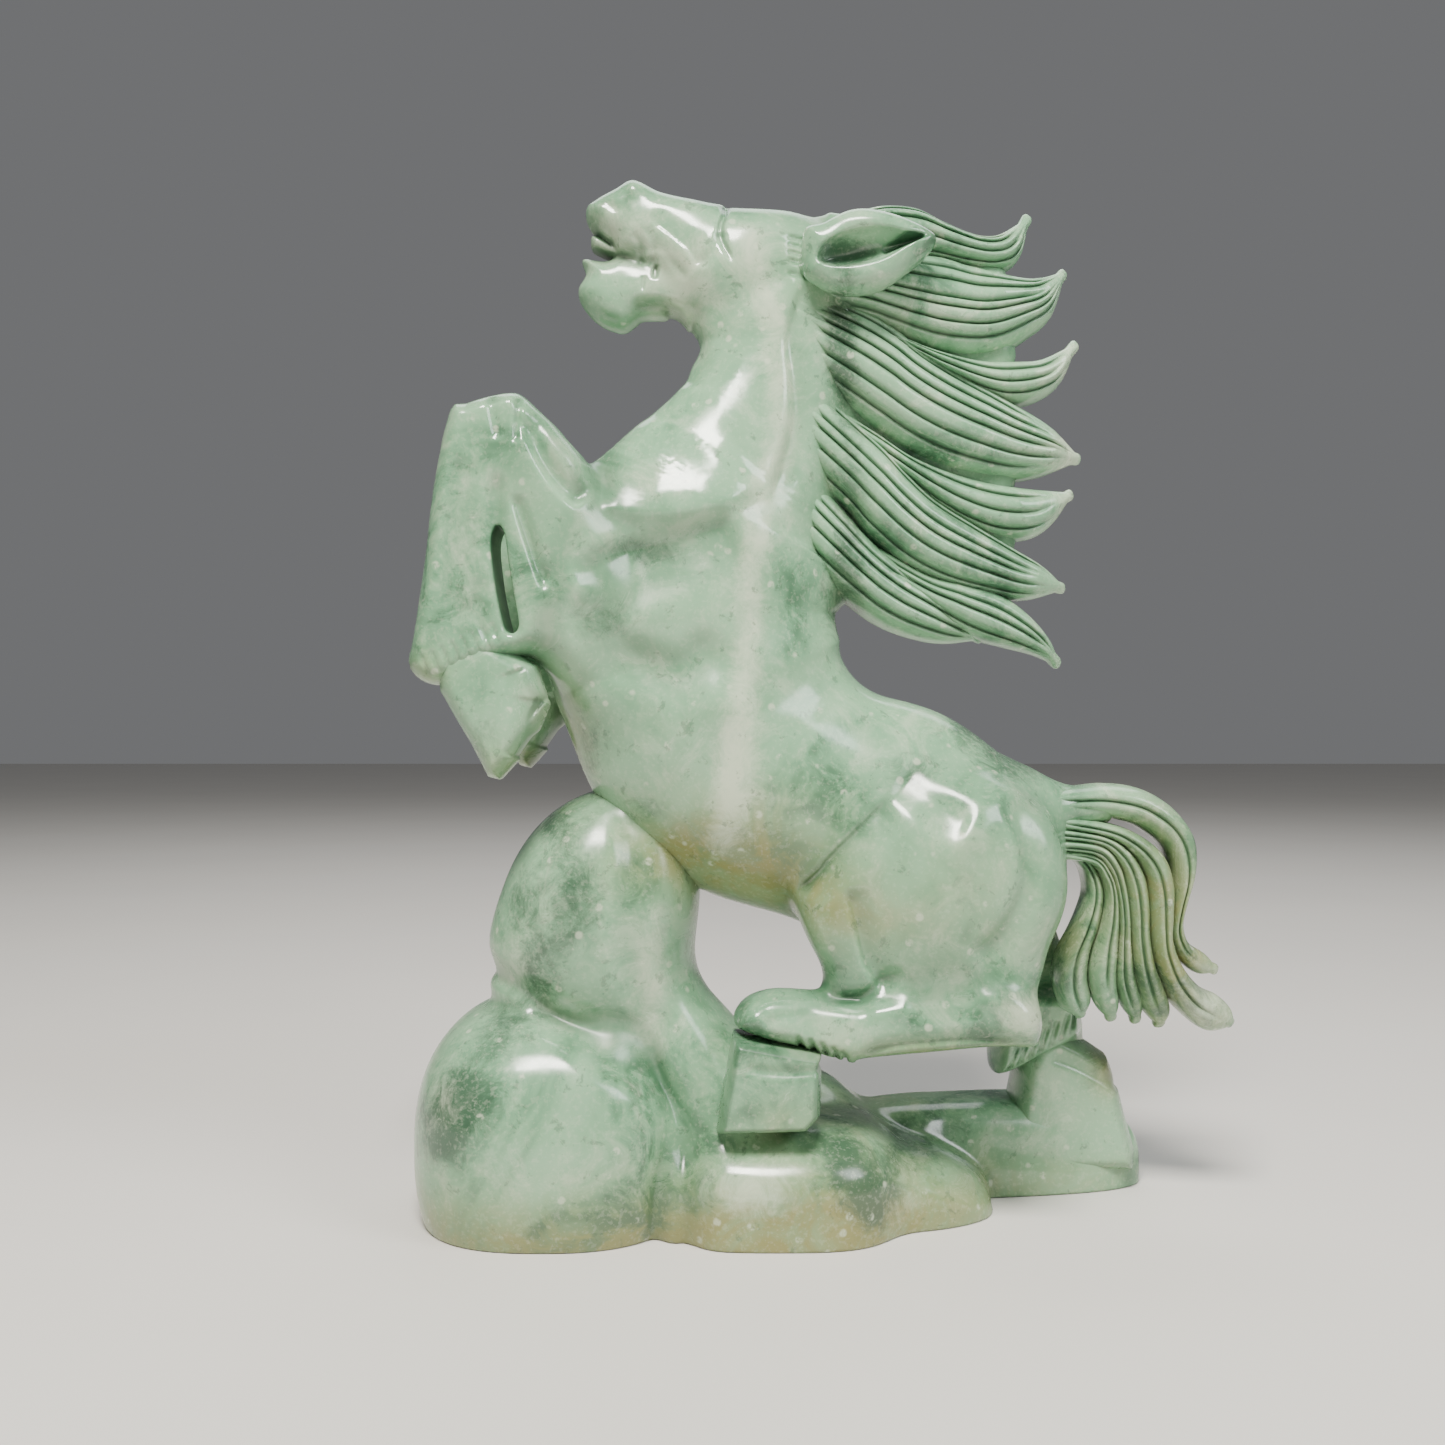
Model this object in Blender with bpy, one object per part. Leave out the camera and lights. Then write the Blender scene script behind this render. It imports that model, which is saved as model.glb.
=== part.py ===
"""A rearing horse on a rock, carved from one block of jade.

The carving is one stone. Its regions are separate solids here, split along the carved
creases between them, with a hairline seam between neighbours. Each region is a loft: a
row of stations along its middle line, with an elliptical ring round each station.

+Z is up, the horse faces -X, and its left side faces -Y. The origin is on the floor,
below the middle of the carving. Stations are in millimetres.
"""

import math

import bmesh
import bpy
from mathutils import Vector

MM = 0.001
SEAM = 0.3  # gap between neighbouring regions
RING_SIDES = 16
SIDE_Y = 22  # how far the legs on each side stand from the middle plane
SMOOTH_BELOW = math.radians(50)

HORSE_GREEN = (0.33, 0.50, 0.36, 1)
MANE_GREEN = (0.24, 0.42, 0.29, 1)
ROCK_GREEN = (0.28, 0.44, 0.33, 1)
POLISH = 0.16  # roughness of the polished stone


# Each station is (x, y, z, half width in the side view, half depth across).

def left_limbs():
    """The regions on the horse's left side, which the right side nearly mirrors."""
    y = -SIDE_Y
    return {
        "front_cannon": [
            (-82, y, 202, 7, 8),
            (-86, y, 195, 9.5, 9),
            (-88.5, y, 182, 8.8, 9),
            (-91, y, 168, 7.8, 8.5),
            (-91.5, y, 155, 8.8, 9),
            (-90, y, 146, 12, 10),
            (-89, y, 139, 11, 9.5),
        ],
        "front_hoof": [
            (-87, y, 146, 9, 8),
            (-85, y, 135, 11.5, 9),
            (-84, y, 128, 12.5, 9.5),
            (-82.5, y, 120, 8, 9),
            (-83, y, 111.5, 3, 7),
        ],
        "forearm": [
            (-58, y + 5, 146, 8, 7),
            (-62, y + 3, 156, 11, 9),
            (-66, y + 1, 170, 12.5, 10),
            (-69, y, 182, 12, 10),
            (-75, y, 193, 10, 9.5),
            (-79, y, 200, 5, 8),
        ],
        "thigh": [
            (62, y + 3, 92, 9, 7),
            (51, y + 1, 92, 23, 11),
            (36, y, 88, 31, 12.5),
            (20, y, 81, 25, 12.5),
            (7, y, 76, 17, 11.5),
            (-6, y, 75, 8, 8),
        ],
    }


LEFT_HIND_CANNON = [
    (49, -22, 53, 6, 7),
    (44, -22, 53, 9, 9),
    (28, -22, 53, 9, 8.5),
    (8, -22, 52, 9, 8.5),
    (-8, -22, 53, 8, 9),
    (-18, -22, 53, 6.5, 9),
    (-24, -22, 52, 3.5, 6),
]
LEFT_HIND_HOOF = [
    (-12, -23, 46, 11.5, 9),
    (-14, -24, 37, 12, 10),
    (-16.5, -25, 25 + SEAM, 12, 11),
]
RIGHT_HIND_CANNON = [
    (56, 21, 76, 9, 9),
    (59, 21, 66, 8.5, 8.5),
    (60, 21, 55, 8, 8),
    (62, 21, 45, 9.5, 9),
    (64, 21, 38, 8, 8),
]
RIGHT_HIND_HOOF = [
    (67, 21, 39, 9, 8.5),
    (69, 21, 30, 11.5, 10),
    (71, 21, 22 + SEAM, 12, 11),
]

TORSO = [
    (-27, 0, 192, 31, 21),
    (-33, 0, 182, 36, 25),
    (-36, 0, 166, 38.5, 27),
    (-36, 0, 148, 38.5, 28),
    (-30, 0, 131, 36.5, 28),
    (-17, 0, 115, 34, 27),
    (0, 0, 104, 32, 27),
    (18, 0, 98, 31, 27),
    (34, 0, 91, 29, 26),
    (48, 0, 87, 23, 22),
    (58, 0, 85, 15, 15),
    (65, 0, 84, 6, 7),
]
NECK = [
    (-26, 0, 192 + SEAM, 30, 20.5),
    (-19, 0, 204, 26, 18),
    (-13, 0, 214, 23, 16.5),
    (-12.5, 0, 225, 23, 15.5),
    (-13, 0, 236, 24, 14.5),
    (-12, 0, 245, 19, 13),
    (-11, 0, 252, 10, 8),
]
HEAD = [
    (-2, 0, 243, 8, 9),
    (-12, 0, 243, 12.5, 13),
    (-25, 0, 243, 14.5, 14.5),
    (-38, 0, 246, 14, 12.5),
    (-48, 0, 251.5, 11.5, 10.5),
    (-56, 0, 255, 6, 8.5),
    (-61, 0, 257, 2.5, 6),
]
LOWER_JAW = [
    (-40, 0, 235.5, 6, 8),
    (-48, 0, 234.5, 7.5, 8),
    (-56, 0, 236.5, 9, 7.5),
    (-61, 0, 239.5, 6.3, 6.5),
    (-64, 0, 241.5, 3, 5),
]
LEFT_EAR = [
    (-5, -17, 240, 4, 2.5),
    (2, -18, 241.5, 9, 3.5),
    (10, -18.5, 242, 11, 3.5),
    (18, -18, 243.5, 6.5, 3),
    (26, -17, 245.5, 1.2, 1.2),
]

MANE_LOCKS = {
    "mane_forelock": [
        (-4, 0, 249, 6, 10),
        (8, 0, 251.5, 6.5, 11),
        (20, 0, 251.5, 5.5, 11),
        (32, 0, 248.5, 4.8, 9),
        (42, 0, 246.5, 4.2, 7),
        (49, 0, 249.5, 3.2, 5),
        (54, 0, 255, 1, 2),
    ],
    "mane_crest_lock": [
        (-6, 0, 240, 9, 12),
        (7, 0, 238, 9.5, 13),
        (20, 0, 236, 9, 13),
        (33, 0, 233.5, 9.5, 12),
        (45, 0, 232.5, 8.2, 9),
        (54, 0, 236, 5, 6),
        (61, 0, 241, 1, 2),
    ],
    "mane_upper_lock": [
        (-8, 0, 222, 9, 13),
        (6, 0, 216.5, 11, 15),
        (20, 0, 210, 11.5, 14),
        (32, 0, 204, 11, 13),
        (44, 0, 200, 10, 11),
        (54, 0, 197, 7, 8),
        (65, 0, 193.5, 1.5, 2.5),
    ],
    "mane_middle_lock": [
        (-8, 0, 200, 13, 14),
        (5, 0, 190, 13, 16),
        (18, 0, 178.5, 11.5, 15),
        (30, 0, 170.5, 10.5, 13),
        (42, 0, 166.5, 8.3, 10),
        (53, 0, 162.5, 4.5, 7),
        (61, 0, 159, 1, 2),
    ],
    "mane_lower_lock": [
        (-7, 0, 176, 10, 13),
        (1, 0, 168, 10, 14),
        (11, 0, 159, 8, 13),
        (22, 0, 152.5, 6.5, 10),
        (31, 0, 149, 3.8, 7),
        (38, 0, 146.5, 1.2, 2),
    ],
    "mane_crest_wisp": [
        (4, 0, 228, 5, 9),
        (20, 0, 222, 4.5, 9),
        (35, 0, 216.5, 3.5, 8),
        (46, 0, 213, 4, 7),
        (56, 0, 214, 3.6, 5),
        (64, 0, 222, 1, 1.5),
    ],
    "mane_middle_wisp": [
        (6, 0, 203, 6, 10),
        (21, 0, 191, 5.5, 10),
        (34, 0, 184, 5, 9),
        (46, 0, 179.5, 5.5, 8),
        (56, 0, 180.5, 4, 5),
        (63, 0, 183.5, 1, 1.5),
    ],
    "mane_lower_wisp": [
        (14, 0, 165, 6, 9),
        (26, 0, 158, 5, 8.5),
        (38, 0, 153.5, 5.5, 7.5),
        (49, 0, 149.5, 4.5, 6),
        (58, 0, 141.5, 1, 1.5),
    ],
}

TAIL_ROOT = [
    (52, 0, 102, 9, 9),
    (63, 0, 103, 7.5, 9),
    (72, 0, 102.5, 7, 9),
]
TAIL_STRANDS = {
    "tail_outer_strand": [
        (69, 0, 107, 2.6, 7),
        (81, 0, 105, 3.2, 8),
        (88, 0, 99.5, 2.8, 8),
        (92, 0, 92, 2.2, 7.5),
        (92.5, 0, 84, 1.9, 7),
        (90.5, 0, 75, 1.9, 6.5),
        (92.5, 0, 67, 2, 5.5),
        (101, 0, 61, 1.2, 2),
    ],
    "tail_main_strand": [
        (69, 0, 101, 3.4, 9),
        (81, 0, 97, 3.6, 10),
        (86, 0, 88, 3.4, 10),
        (86.5, 0, 76, 3.4, 9.5),
        (87, 0, 65, 3.3, 9),
        (91.5, 0, 55, 3.6, 7.5),
        (101, 0, 48.5, 2.6, 4),
        (105.5, 0, 46, 0.9, 1.5),
    ],
    "tail_middle_strand": [
        (64, 0, 98, 3.4, 9),
        (78, 0, 89, 3, 10),
        (80.5, 0, 80, 2.6, 10),
        (81.5, 0, 70, 2.6, 9),
        (83, 0, 60, 2.6, 8),
        (86.5, 0, 48, 1.3, 3),
    ],
    "tail_inner_strand": [
        (61, 0, 96, 3.2, 8),
        (69, 0, 92, 3, 8.5),
        (73.5, 0, 86, 2.6, 9),
        (75.5, 0, 77, 2.6, 9),
        (76, 0, 67, 2.6, 8.5),
        (77, 0, 58, 2.5, 7),
        (80, 0, 48, 1.2, 2.5),
    ],
    "tail_rump_strand": [
        (66.5, -4, 85, 2, 6),
        (69.5, -4, 77, 2.5, 6.5),
        (70, -4, 67, 2.5, 6.5),
        (71, -4, 57, 2.3, 5.5),
        (73, -3, 49, 1.2, 2.5),
    ],
}

# The rock's rings lie level, so that its underside is one flat plane at z = 0.
ROCK = {
    "rock_front_boulder": [
        (-70.5, -2, 0, 35, 35.5),
        (-71, -2, 16, 35, 35),
        (-71.5, -1, 31, 33, 33),
        (-73, 0, 43, 27, 27),
        (-75, 0, 51, 18, 19),
        (-76, 0, 55.5, 9, 10),
    ],
    "rock_upper_boulder": [
        (-63, 2, 46, 19, 20),
        (-63, 2, 58, 21.5, 22),
        (-62.5, 2, 71, 23, 23),
        (-60, 2, 83, 21, 21),
        (-56, 2, 94, 15, 17),
        (-54, 2, 104, 7, 10),
    ],
    "rock_pillar": [
        (-31, 1, 26, 22, 20),
        (-37, 1, 40, 18, 18),
        (-43, 1, 52, 14.5, 17),
        (-48, 1, 64, 10.5, 16),
        (-49, 1, 76, 9.5, 15),
        (-47, 1, 88, 9.5, 14),
    ],
    "rock_front_ledge": [
        (0, -8, 0, 37, 27),
        (0, -8, 12, 36.5, 26.5),
        (-2, -9, 20, 34, 24.5),
        (-5, -10, 25, 29, 20),
    ],
    "rock_rear_ledge": [
        (50, 19, 0, 43, 17.5),
        (50, 19, 9, 42, 17),
        (50, 20, 17, 38, 15),
        (52, 20, 22, 33, 12),
    ],
    "rock_back_lobe": [
        (-22, 19, 0, 38, 18.5),
        (-24, 18, 14, 35, 18),
        (-28, 16, 28, 27, 15),
        (-33, 13, 38, 16, 11),
    ],
}


def across(points, index):
    """The unit normal, in the side view, to the line through the points at index."""
    before = points[max(index - 1, 0)]
    after = points[min(index + 1, len(points) - 1)]
    run = (after - before).normalized()
    return run, run.cross(Vector((0, 1, 0))).normalized()


def loft(name, stations, grow=0, level=False):
    """A closed solid round the stations; grow thickens and lengthens it, for a cutter."""
    middles = [Vector(station[:3]) for station in stations]
    shape = bmesh.new()
    rings = []
    for index, station in enumerate(stations):
        run, side = across(middles, index)
        if level:
            run, side = Vector((0, 0, 1)), Vector((-1, 0, 0))
        depth = run.cross(side)
        reach = grow * ((index == len(stations) - 1) - (index == 0))
        middle = middles[index] + run * reach
        wide, deep = station[3] + grow, station[4] + grow
        ring = []
        for step in range(RING_SIDES):
            turn = 2 * math.pi * step / RING_SIDES
            point = middle + side * wide * math.cos(turn) + depth * deep * math.sin(turn)
            ring.append(shape.verts.new(point * MM))
        rings.append(ring)
    for first, second in zip(rings, rings[1:]):
        for step in range(RING_SIDES):
            after = (step + 1) % RING_SIDES
            shape.faces.new((first[step], first[after], second[after], second[step]))
    shape.faces.new(rings[0])
    shape.faces.new(rings[-1])
    bmesh.ops.recalc_face_normals(shape, faces=shape.faces)
    mesh = bpy.data.meshes.new(name)
    shape.to_mesh(mesh)
    shape.free()
    made = bpy.data.objects.new(name, mesh)
    bpy.context.scene.collection.objects.link(made)
    return made


def mirrored(stations, shift_x=0, shift_z=0):
    return [(x + shift_x, -y, z + shift_z, wide, deep) for x, y, z, wide, deep in stations]


def stone(name, colour):
    material = bpy.data.materials.new(name)
    material.use_nodes = True
    shader = material.node_tree.nodes["Principled BSDF"]
    shader.inputs["Base Color"].default_value = colour
    shader.inputs["Roughness"].default_value = POLISH
    shader.inputs["Metallic"].default_value = 0
    return material


def regions():
    """Every region as (name, stations, colour, level), the ones that keep their whole shape first."""
    far_shift = {"front_hoof": (4, 3), "front_cannon": (3, 3), "forearm": (2, 2), "thigh": (0, 0)}
    limbs = []
    for name, stations in left_limbs().items():
        limbs.append(("left_" + name, stations))
        limbs.append(("right_" + name, mirrored(stations, *far_shift[name])))
    hind = [
        ("left_hind_hoof", LEFT_HIND_HOOF),
        ("right_hind_hoof", RIGHT_HIND_HOOF),
        ("left_hind_cannon", LEFT_HIND_CANNON),
        ("right_hind_cannon", RIGHT_HIND_CANNON),
    ]
    trunk = [
        ("torso", TORSO),
        ("head", HEAD),
        ("lower_jaw", LOWER_JAW),
        ("neck", NECK),
        ("left_ear", LEFT_EAR),
        ("right_ear", mirrored(LEFT_EAR)),
    ]
    hair = [*MANE_LOCKS.items(), ("tail_root", TAIL_ROOT), *TAIL_STRANDS.items()]
    horse = [(name, row, HORSE_GREEN, False) for name, row in hind + limbs + trunk]
    strands = [(name, row, MANE_GREEN, False) for name, row in hair]
    rock = [(name, row, ROCK_GREEN, True) for name, row in ROCK.items()]
    return horse + strands + rock


def boxes_meet(first, second):
    """Whether the two objects' boxes come within a seam of each other."""
    for axis in range(3):
        a = [corner[axis] for corner in first.bound_box]
        b = [corner[axis] for corner in second.bound_box]
        if min(a) > max(b) + SEAM * MM or min(b) > max(a) + SEAM * MM:
            return False
    return True


def keep_largest_island(mesh):
    """Drops the slivers that a cut leaves beside the main solid."""
    shape = bmesh.new()
    shape.from_mesh(mesh)
    unseen = set(shape.verts)
    islands = []
    while unseen:
        front = [unseen.pop()]
        island = set(front)
        while front:
            for edge in front.pop().link_edges:
                for vert in edge.verts:
                    if vert in unseen:
                        unseen.remove(vert)
                        island.add(vert)
                        front.append(vert)
        islands.append(island)
    islands.sort(key=len, reverse=True)
    spare = [vert for island in islands[1:] for vert in island]
    bmesh.ops.delete(shape, geom=spare, context="VERTS")
    shape.to_mesh(mesh)
    shape.free()


def cut_by(region, cutters):
    """Takes the grown neighbours away from the region and keeps the result as its mesh."""
    for cutter in cutters:
        cut = region.modifiers.new(cutter.name, "BOOLEAN")
        cut.operation = "DIFFERENCE"
        cut.solver = "EXACT"
        cut.object = cutter
    bpy.context.view_layer.update()
    graph = bpy.context.evaluated_depsgraph_get()
    mesh = bpy.data.meshes.new_from_object(region.evaluated_get(graph))
    region.modifiers.clear()
    region.data = mesh
    keep_largest_island(mesh)


def main():
    for old in list(bpy.data.objects):
        bpy.data.objects.remove(old, do_unlink=True)
    base = bpy.data.objects.new("carving", None)
    bpy.context.scene.collection.objects.link(base)
    cutters = []
    for name, stations, colour, level in regions():
        region = loft(name, stations, level=level)
        near = [cutter for cutter in cutters if boxes_meet(region, cutter)]
        if near:
            cut_by(region, near)
        cutter = loft("cutter_" + name, stations, grow=SEAM, level=level)
        cutter.hide_render = True
        cutter.display_type = "WIRE"
        cutters.append(cutter)
        region.data.materials.clear()
        region.data.materials.append(stone("jade_" + name, colour))
        region.data.shade_smooth()
        region.data.set_sharp_from_angle(angle=SMOOTH_BELOW)
        region.parent = base
    for cutter in cutters:
        bpy.data.objects.remove(cutter, do_unlink=True)


main()
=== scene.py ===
"""Looks of the jade horse: the carved surface, the polished stone, light and camera.

The stone is modelled as its carver worked it: forms cut from a slab, seen mostly from its
two faces. Each form has a middle line or an outline in the side view (x, z) and a half
depth across it (y). The forms are blended into one distance field, creases and muscles are
cut into its two faces, and the field's surface is meshed. Locks of the mane and strands of
the tail are swept along their own flow lines, so that their ribs follow the hair.

Lengths are millimetres in the frame of the CAD until a mesh is made.
"""

import math

import bpy
import numpy as np
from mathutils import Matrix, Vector


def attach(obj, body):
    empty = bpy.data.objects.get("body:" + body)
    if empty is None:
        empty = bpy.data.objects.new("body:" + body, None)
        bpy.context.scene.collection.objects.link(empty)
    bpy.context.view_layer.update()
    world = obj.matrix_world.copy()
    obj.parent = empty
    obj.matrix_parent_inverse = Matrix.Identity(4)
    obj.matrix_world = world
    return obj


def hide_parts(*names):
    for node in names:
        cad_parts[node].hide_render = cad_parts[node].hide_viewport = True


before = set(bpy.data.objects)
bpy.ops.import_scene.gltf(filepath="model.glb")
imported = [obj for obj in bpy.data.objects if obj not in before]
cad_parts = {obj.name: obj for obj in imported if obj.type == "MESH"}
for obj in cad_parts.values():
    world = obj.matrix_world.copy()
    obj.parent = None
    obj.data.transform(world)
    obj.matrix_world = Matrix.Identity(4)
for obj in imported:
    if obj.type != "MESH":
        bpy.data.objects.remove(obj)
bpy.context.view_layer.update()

MM = 0.001
BODY = "root"


# ---- curves

def smooth_curve(rows, steps=10, closed=False):
    """A Catmull-Rom curve through the rows, which may have any number of columns."""
    rows = np.array(rows, float)
    if closed:
        rows = np.vstack([rows[-1], rows, rows[0], rows[1]])
    else:
        rows = np.vstack([2 * rows[0] - rows[1], rows, 2 * rows[-1] - rows[-2]])
    t = np.arange(steps)[:, None] / steps
    runs = []
    for p0, p1, p2, p3 in zip(rows, rows[1:], rows[2:], rows[3:]):
        runs.append(
            0.5 * (2 * p1 + (p2 - p0) * t + (2 * p0 - 5 * p1 + 4 * p2 - p3) * t**2
                   + (3 * p1 - p0 - 3 * p2 + p3) * t**3)
        )
    if not closed:
        runs.append(rows[-2:-1])
    return np.vstack(runs)


def ramp(value, low, high):
    """0 below low, 1 above high, and smooth between."""
    t = np.clip((value - low) / (high - low), 0, 1)
    return t * t * (3 - 2 * t)


def soft_min(a, b, blend):
    """The smaller of the two, rounded over where they differ by less than blend."""
    if blend <= 0:
        return np.minimum(a, b)
    h = np.maximum(blend - np.abs(a - b), 0) / blend
    return np.minimum(a, b) - h * h * blend / 4


def nearest_on(line, x, z):
    """For places (x, z): distance to the line, where along it, and the side they lie on."""
    best = np.full(np.broadcast(x, z).shape, np.inf)
    where = np.zeros(best.shape)
    side = np.zeros(best.shape)
    for i, (a, b) in enumerate(zip(line[:-1, :2], line[1:, :2])):
        run = b - a
        t = ((x - a[0]) * run[0] + (z - a[1]) * run[1]) / max(run @ run, 1e-9)
        t = np.clip(t, 0, 1)
        dx, dz = x - a[0] - run[0] * t, z - a[1] - run[1] * t
        gap = dx * dx + dz * dz
        nearer = gap < best
        best = np.where(nearer, gap, best)
        where = np.where(nearer, i + t, where)
        side = np.where(nearer, np.sign(run[0] * dz - run[1] * dx), side)
    return np.sqrt(best), where, side


# ---- the distance field

EMPTY = 60.0  # the field's value where nothing has been carved yet
THROUGH = 60.0  # half depth of a cut that goes right through the slab
MARGIN = 14  # how far round a form its distance is worked out
FADED = 2.6  # a groove or a hollow has faded out at this many times its width
BETWEEN_FACES = 3  # the near face's relief turns into the far face's within this of y = 0


class Carving:
    """A block of space with the distance field of what is carved in it."""

    def __init__(self, low, high, cell):
        self.cell = cell * 1
        self.low = np.array(low, float)
        counts = np.ceil((np.array(high) - self.low) / self.cell).astype(int) + 1
        self.xs, self.ys, self.zs = (
            self.low[i] + self.cell * np.arange(counts[i]) for i in range(3)
        )
        # Sheets of constant y come first, because every form is a map over x and z.
        self.field = np.full((counts[1], counts[0], counts[2]), EMPTY, np.float32)
        self.near = np.zeros((counts[0], counts[2]), np.float32)
        self.far = np.zeros((counts[0], counts[2]), np.float32)

    def window(self, points, margin):
        """Slices of the x and z samples round the points, and their coordinates."""
        low, high = points.min(axis=0) - margin, points.max(axis=0) + margin
        sx = slice(*np.searchsorted(self.xs, (low[0], high[0])))
        sz = slice(*np.searchsorted(self.zs, (low[1], high[1])))
        return sx, sz, self.xs[sx, None], self.zs[None, sz]

    def ellipse(self, x0, z0, long, tall, turn, margin):
        """Slices round an ellipse turned in x-z, and coordinates that are 1 at its ends."""
        c, s = math.cos(math.radians(turn)), math.sin(math.radians(turn))
        sx, sz, x, z = self.window(np.array([[x0, z0]]), margin)
        u = ((x - x0) * c + (z - z0) * s) / long
        w = ((z - z0) * c - (x - x0) * s) / tall
        return sx, sz, u, w

    def tube(self, stations, power=2):
        """A form round a middle line of (x, z, y, half width, half depth)."""
        line = smooth_curve(stations)
        sx, sz, x, z = self.window(line[:, :2], line[:, 3].max() + MARGIN)
        gap, where, _ = nearest_on(line, x, z)
        at = np.arange(len(line))
        middle, wide, deep = (np.interp(where, at, line[:, k]) for k in (2, 3, 4))
        steep = deep**2 * power * (gap / wide) ** (power - 1) / wide
        return self.form(sx, sz, deep**2 * (1 - (gap / wide) ** power), steep, middle)

    def blob(self, centre, radii, turn=0):
        """An ellipsoid: centre (x, y, z), radii (along, across y, up), turned in x-z."""
        x0, y0, z0 = centre
        long, deep, tall = radii
        sx, sz, u, w = self.ellipse(x0, z0, long, tall, turn, max(long, tall) + MARGIN)
        steep = 2 * deep**2 * np.hypot(u / long, w / tall)
        return self.form(sx, sz, deep**2 * (1 - u * u - w * w), steep, y0)

    def plate(self, outline, middle, deep, edge, steps=6):
        """A slab with this outline (x, z), flat in the middle and rounded at its edge."""
        line = np.array(outline, float)
        if steps:
            line = smooth_curve(outline, steps, closed=True)
        line = np.vstack([line, line[:1]])
        sx, sz, x, z = self.window(line, MARGIN)
        gap, _, _ = nearest_on(line, x, z)
        inside = np.zeros(gap.shape, bool)
        for a, b in zip(line[:-1], line[1:]):
            spans = (a[1] > z) != (b[1] > z)
            cross = a[0] + (z - a[1]) / ((b[1] - a[1]) or 1e-9) * (b[0] - a[0])
            inside ^= spans & (x < cross)
        inward = np.where(inside, gap, -gap)
        u = np.maximum(1 - inward / edge, 0)
        steep = 2 * deep**2 * u / edge
        return self.form(sx, sz, deep**2 * (1 - u**2), steep, middle)

    def form(self, sx, sz, squared_depth, steep, middle):
        """A map of squared half depth, how steep the map is, and the middle plane's y."""
        maps = (np.asarray(each, np.float32) for each in (squared_depth, steep**2, middle))
        return sx, sz, *maps

    def add(self, form, blend=0.0, cut=False):
        """Blends the form into the field, or cuts it out of what is there."""
        sx, sz, squared_depth, steep, middle = form
        for j, y in enumerate(self.ys):
            across = y - middle
            # How far the form's equation is from zero, over the size of its slope.
            gap = (across**2 - squared_depth) / np.sqrt(4 * across**2 + steep + 1e-3)
            here = self.field[j, sx, sz]
            if cut:
                self.field[j, sx, sz] = -soft_min(-here, gap, blend)
            else:
                self.field[j, sx, sz] = soft_min(here, gap, blend)

    def groove(self, points, wide, deep, other=None, faces="both", ends=(0.15, 0.15)):
        """Cuts a line (x, z) into the faces; other is its width on its left-hand side."""
        line = smooth_curve(points, 6)
        sx, sz, x, z = self.window(line, FADED * max(wide, other or wide))
        gap, where, side = nearest_on(line, x, z)
        t = where / (len(line) - 1)
        fade = ramp(t, 0, ends[0]) if ends[0] else 1
        fade = fade * (ramp(1 - t, 0, ends[1]) if ends[1] else 1)
        width = np.where(side > 0, other or wide, wide)
        self.relief(sx, sz, deep * fade * np.exp(-((gap / width) ** 2)), faces)

    def hollow(self, x0, z0, long, tall, turn, deep, faces="both"):
        """Presses a soft elliptical hollow into the faces, or a swelling if deep < 0."""
        sx, sz, u, w = self.ellipse(x0, z0, long, tall, turn, FADED * max(long, tall))
        self.relief(sx, sz, deep * np.exp(-(u * u) - w * w), faces)

    def relief(self, sx, sz, cut, faces):
        """Notes how deep the faces are to be cut."""
        if faces != "far":
            self.near[sx, sz] += cut
        if faces != "near":
            self.far[sx, sz] += cut

    def press_relief(self):
        """Cuts the faces as deep as was noted."""
        for j, y in enumerate(self.ys):
            share = float(ramp(y, -BETWEEN_FACES, BETWEEN_FACES))
            self.field[j] += (1 - share) * self.near + share * self.far

    def relief_at(self, points):
        """How deep the faces are cut where each point lies."""
        place = np.round((points[:, [0, 2]] - self.low[[0, 2]]) / self.cell).astype(int)
        i, k = np.clip(place, 0, np.array(self.near.shape) - 1).T
        return np.where(points[:, 1] < 0, self.near[i, k], self.far[i, k])

    def keep_above(self, height):
        self.field = np.maximum(self.field, (height - self.zs)[None, None, :])

    def sample(self, points):
        """The field between its samples, at points (x, y, z)."""
        place = (points[:, [1, 0, 2]] - self.low[[1, 0, 2]]) / self.cell
        top = np.array(self.field.shape) - 2
        base = np.clip(np.floor(place).astype(int), 0, top)
        f = np.clip(place - base, 0, 1)
        value = np.zeros(len(points))
        for corner in range(8):
            bit = [(corner >> k) & 1 for k in range(3)]
            weight = np.prod([f[:, k] if bit[k] else 1 - f[:, k] for k in range(3)], axis=0)
            value += weight * self.field[tuple((base + bit).T)]
        return value

    def slope(self, points, reach=1.0):
        """The field's gradient at the points, taken over this many cells each way."""
        step = reach * self.cell
        parts = []
        for axis in range(3):
            move = np.zeros(3)
            move[axis] = step
            parts.append(self.sample(points + move) - self.sample(points - move))
        return np.stack(parts, axis=1) / (2 * step)

    def settle(self, points, rounds=3):
        """Moves points onto the surface of the field."""
        for _ in range(rounds):
            slope = self.slope(points, 0.5)
            size = np.maximum((slope**2).sum(axis=1), 0.05)
            step = self.sample(points)[:, None] * slope / size[:, None]
            points = points - np.clip(step, -0.5 * self.cell, 0.5 * self.cell)
        return points

    def normals(self, points):
        slope = self.slope(points)
        return slope / np.maximum(np.linalg.norm(slope, axis=1, keepdims=True), 1e-9)

    def crossed_cells(self, inside):
        """The cells with some corners inside the surface and some outside."""
        ny, nx, nz = np.array(inside.shape) - 1
        some = np.zeros((ny, nx, nz), bool)
        every = np.ones_like(some)
        for corner in range(8):
            b = [(corner >> k) & 1 for k in range(3)]
            part = inside[b[0]: ny + b[0], b[1]: nx + b[1], b[2]: nz + b[2]]
            some |= part
            every &= part
        return np.argwhere(some & ~every)

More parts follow.
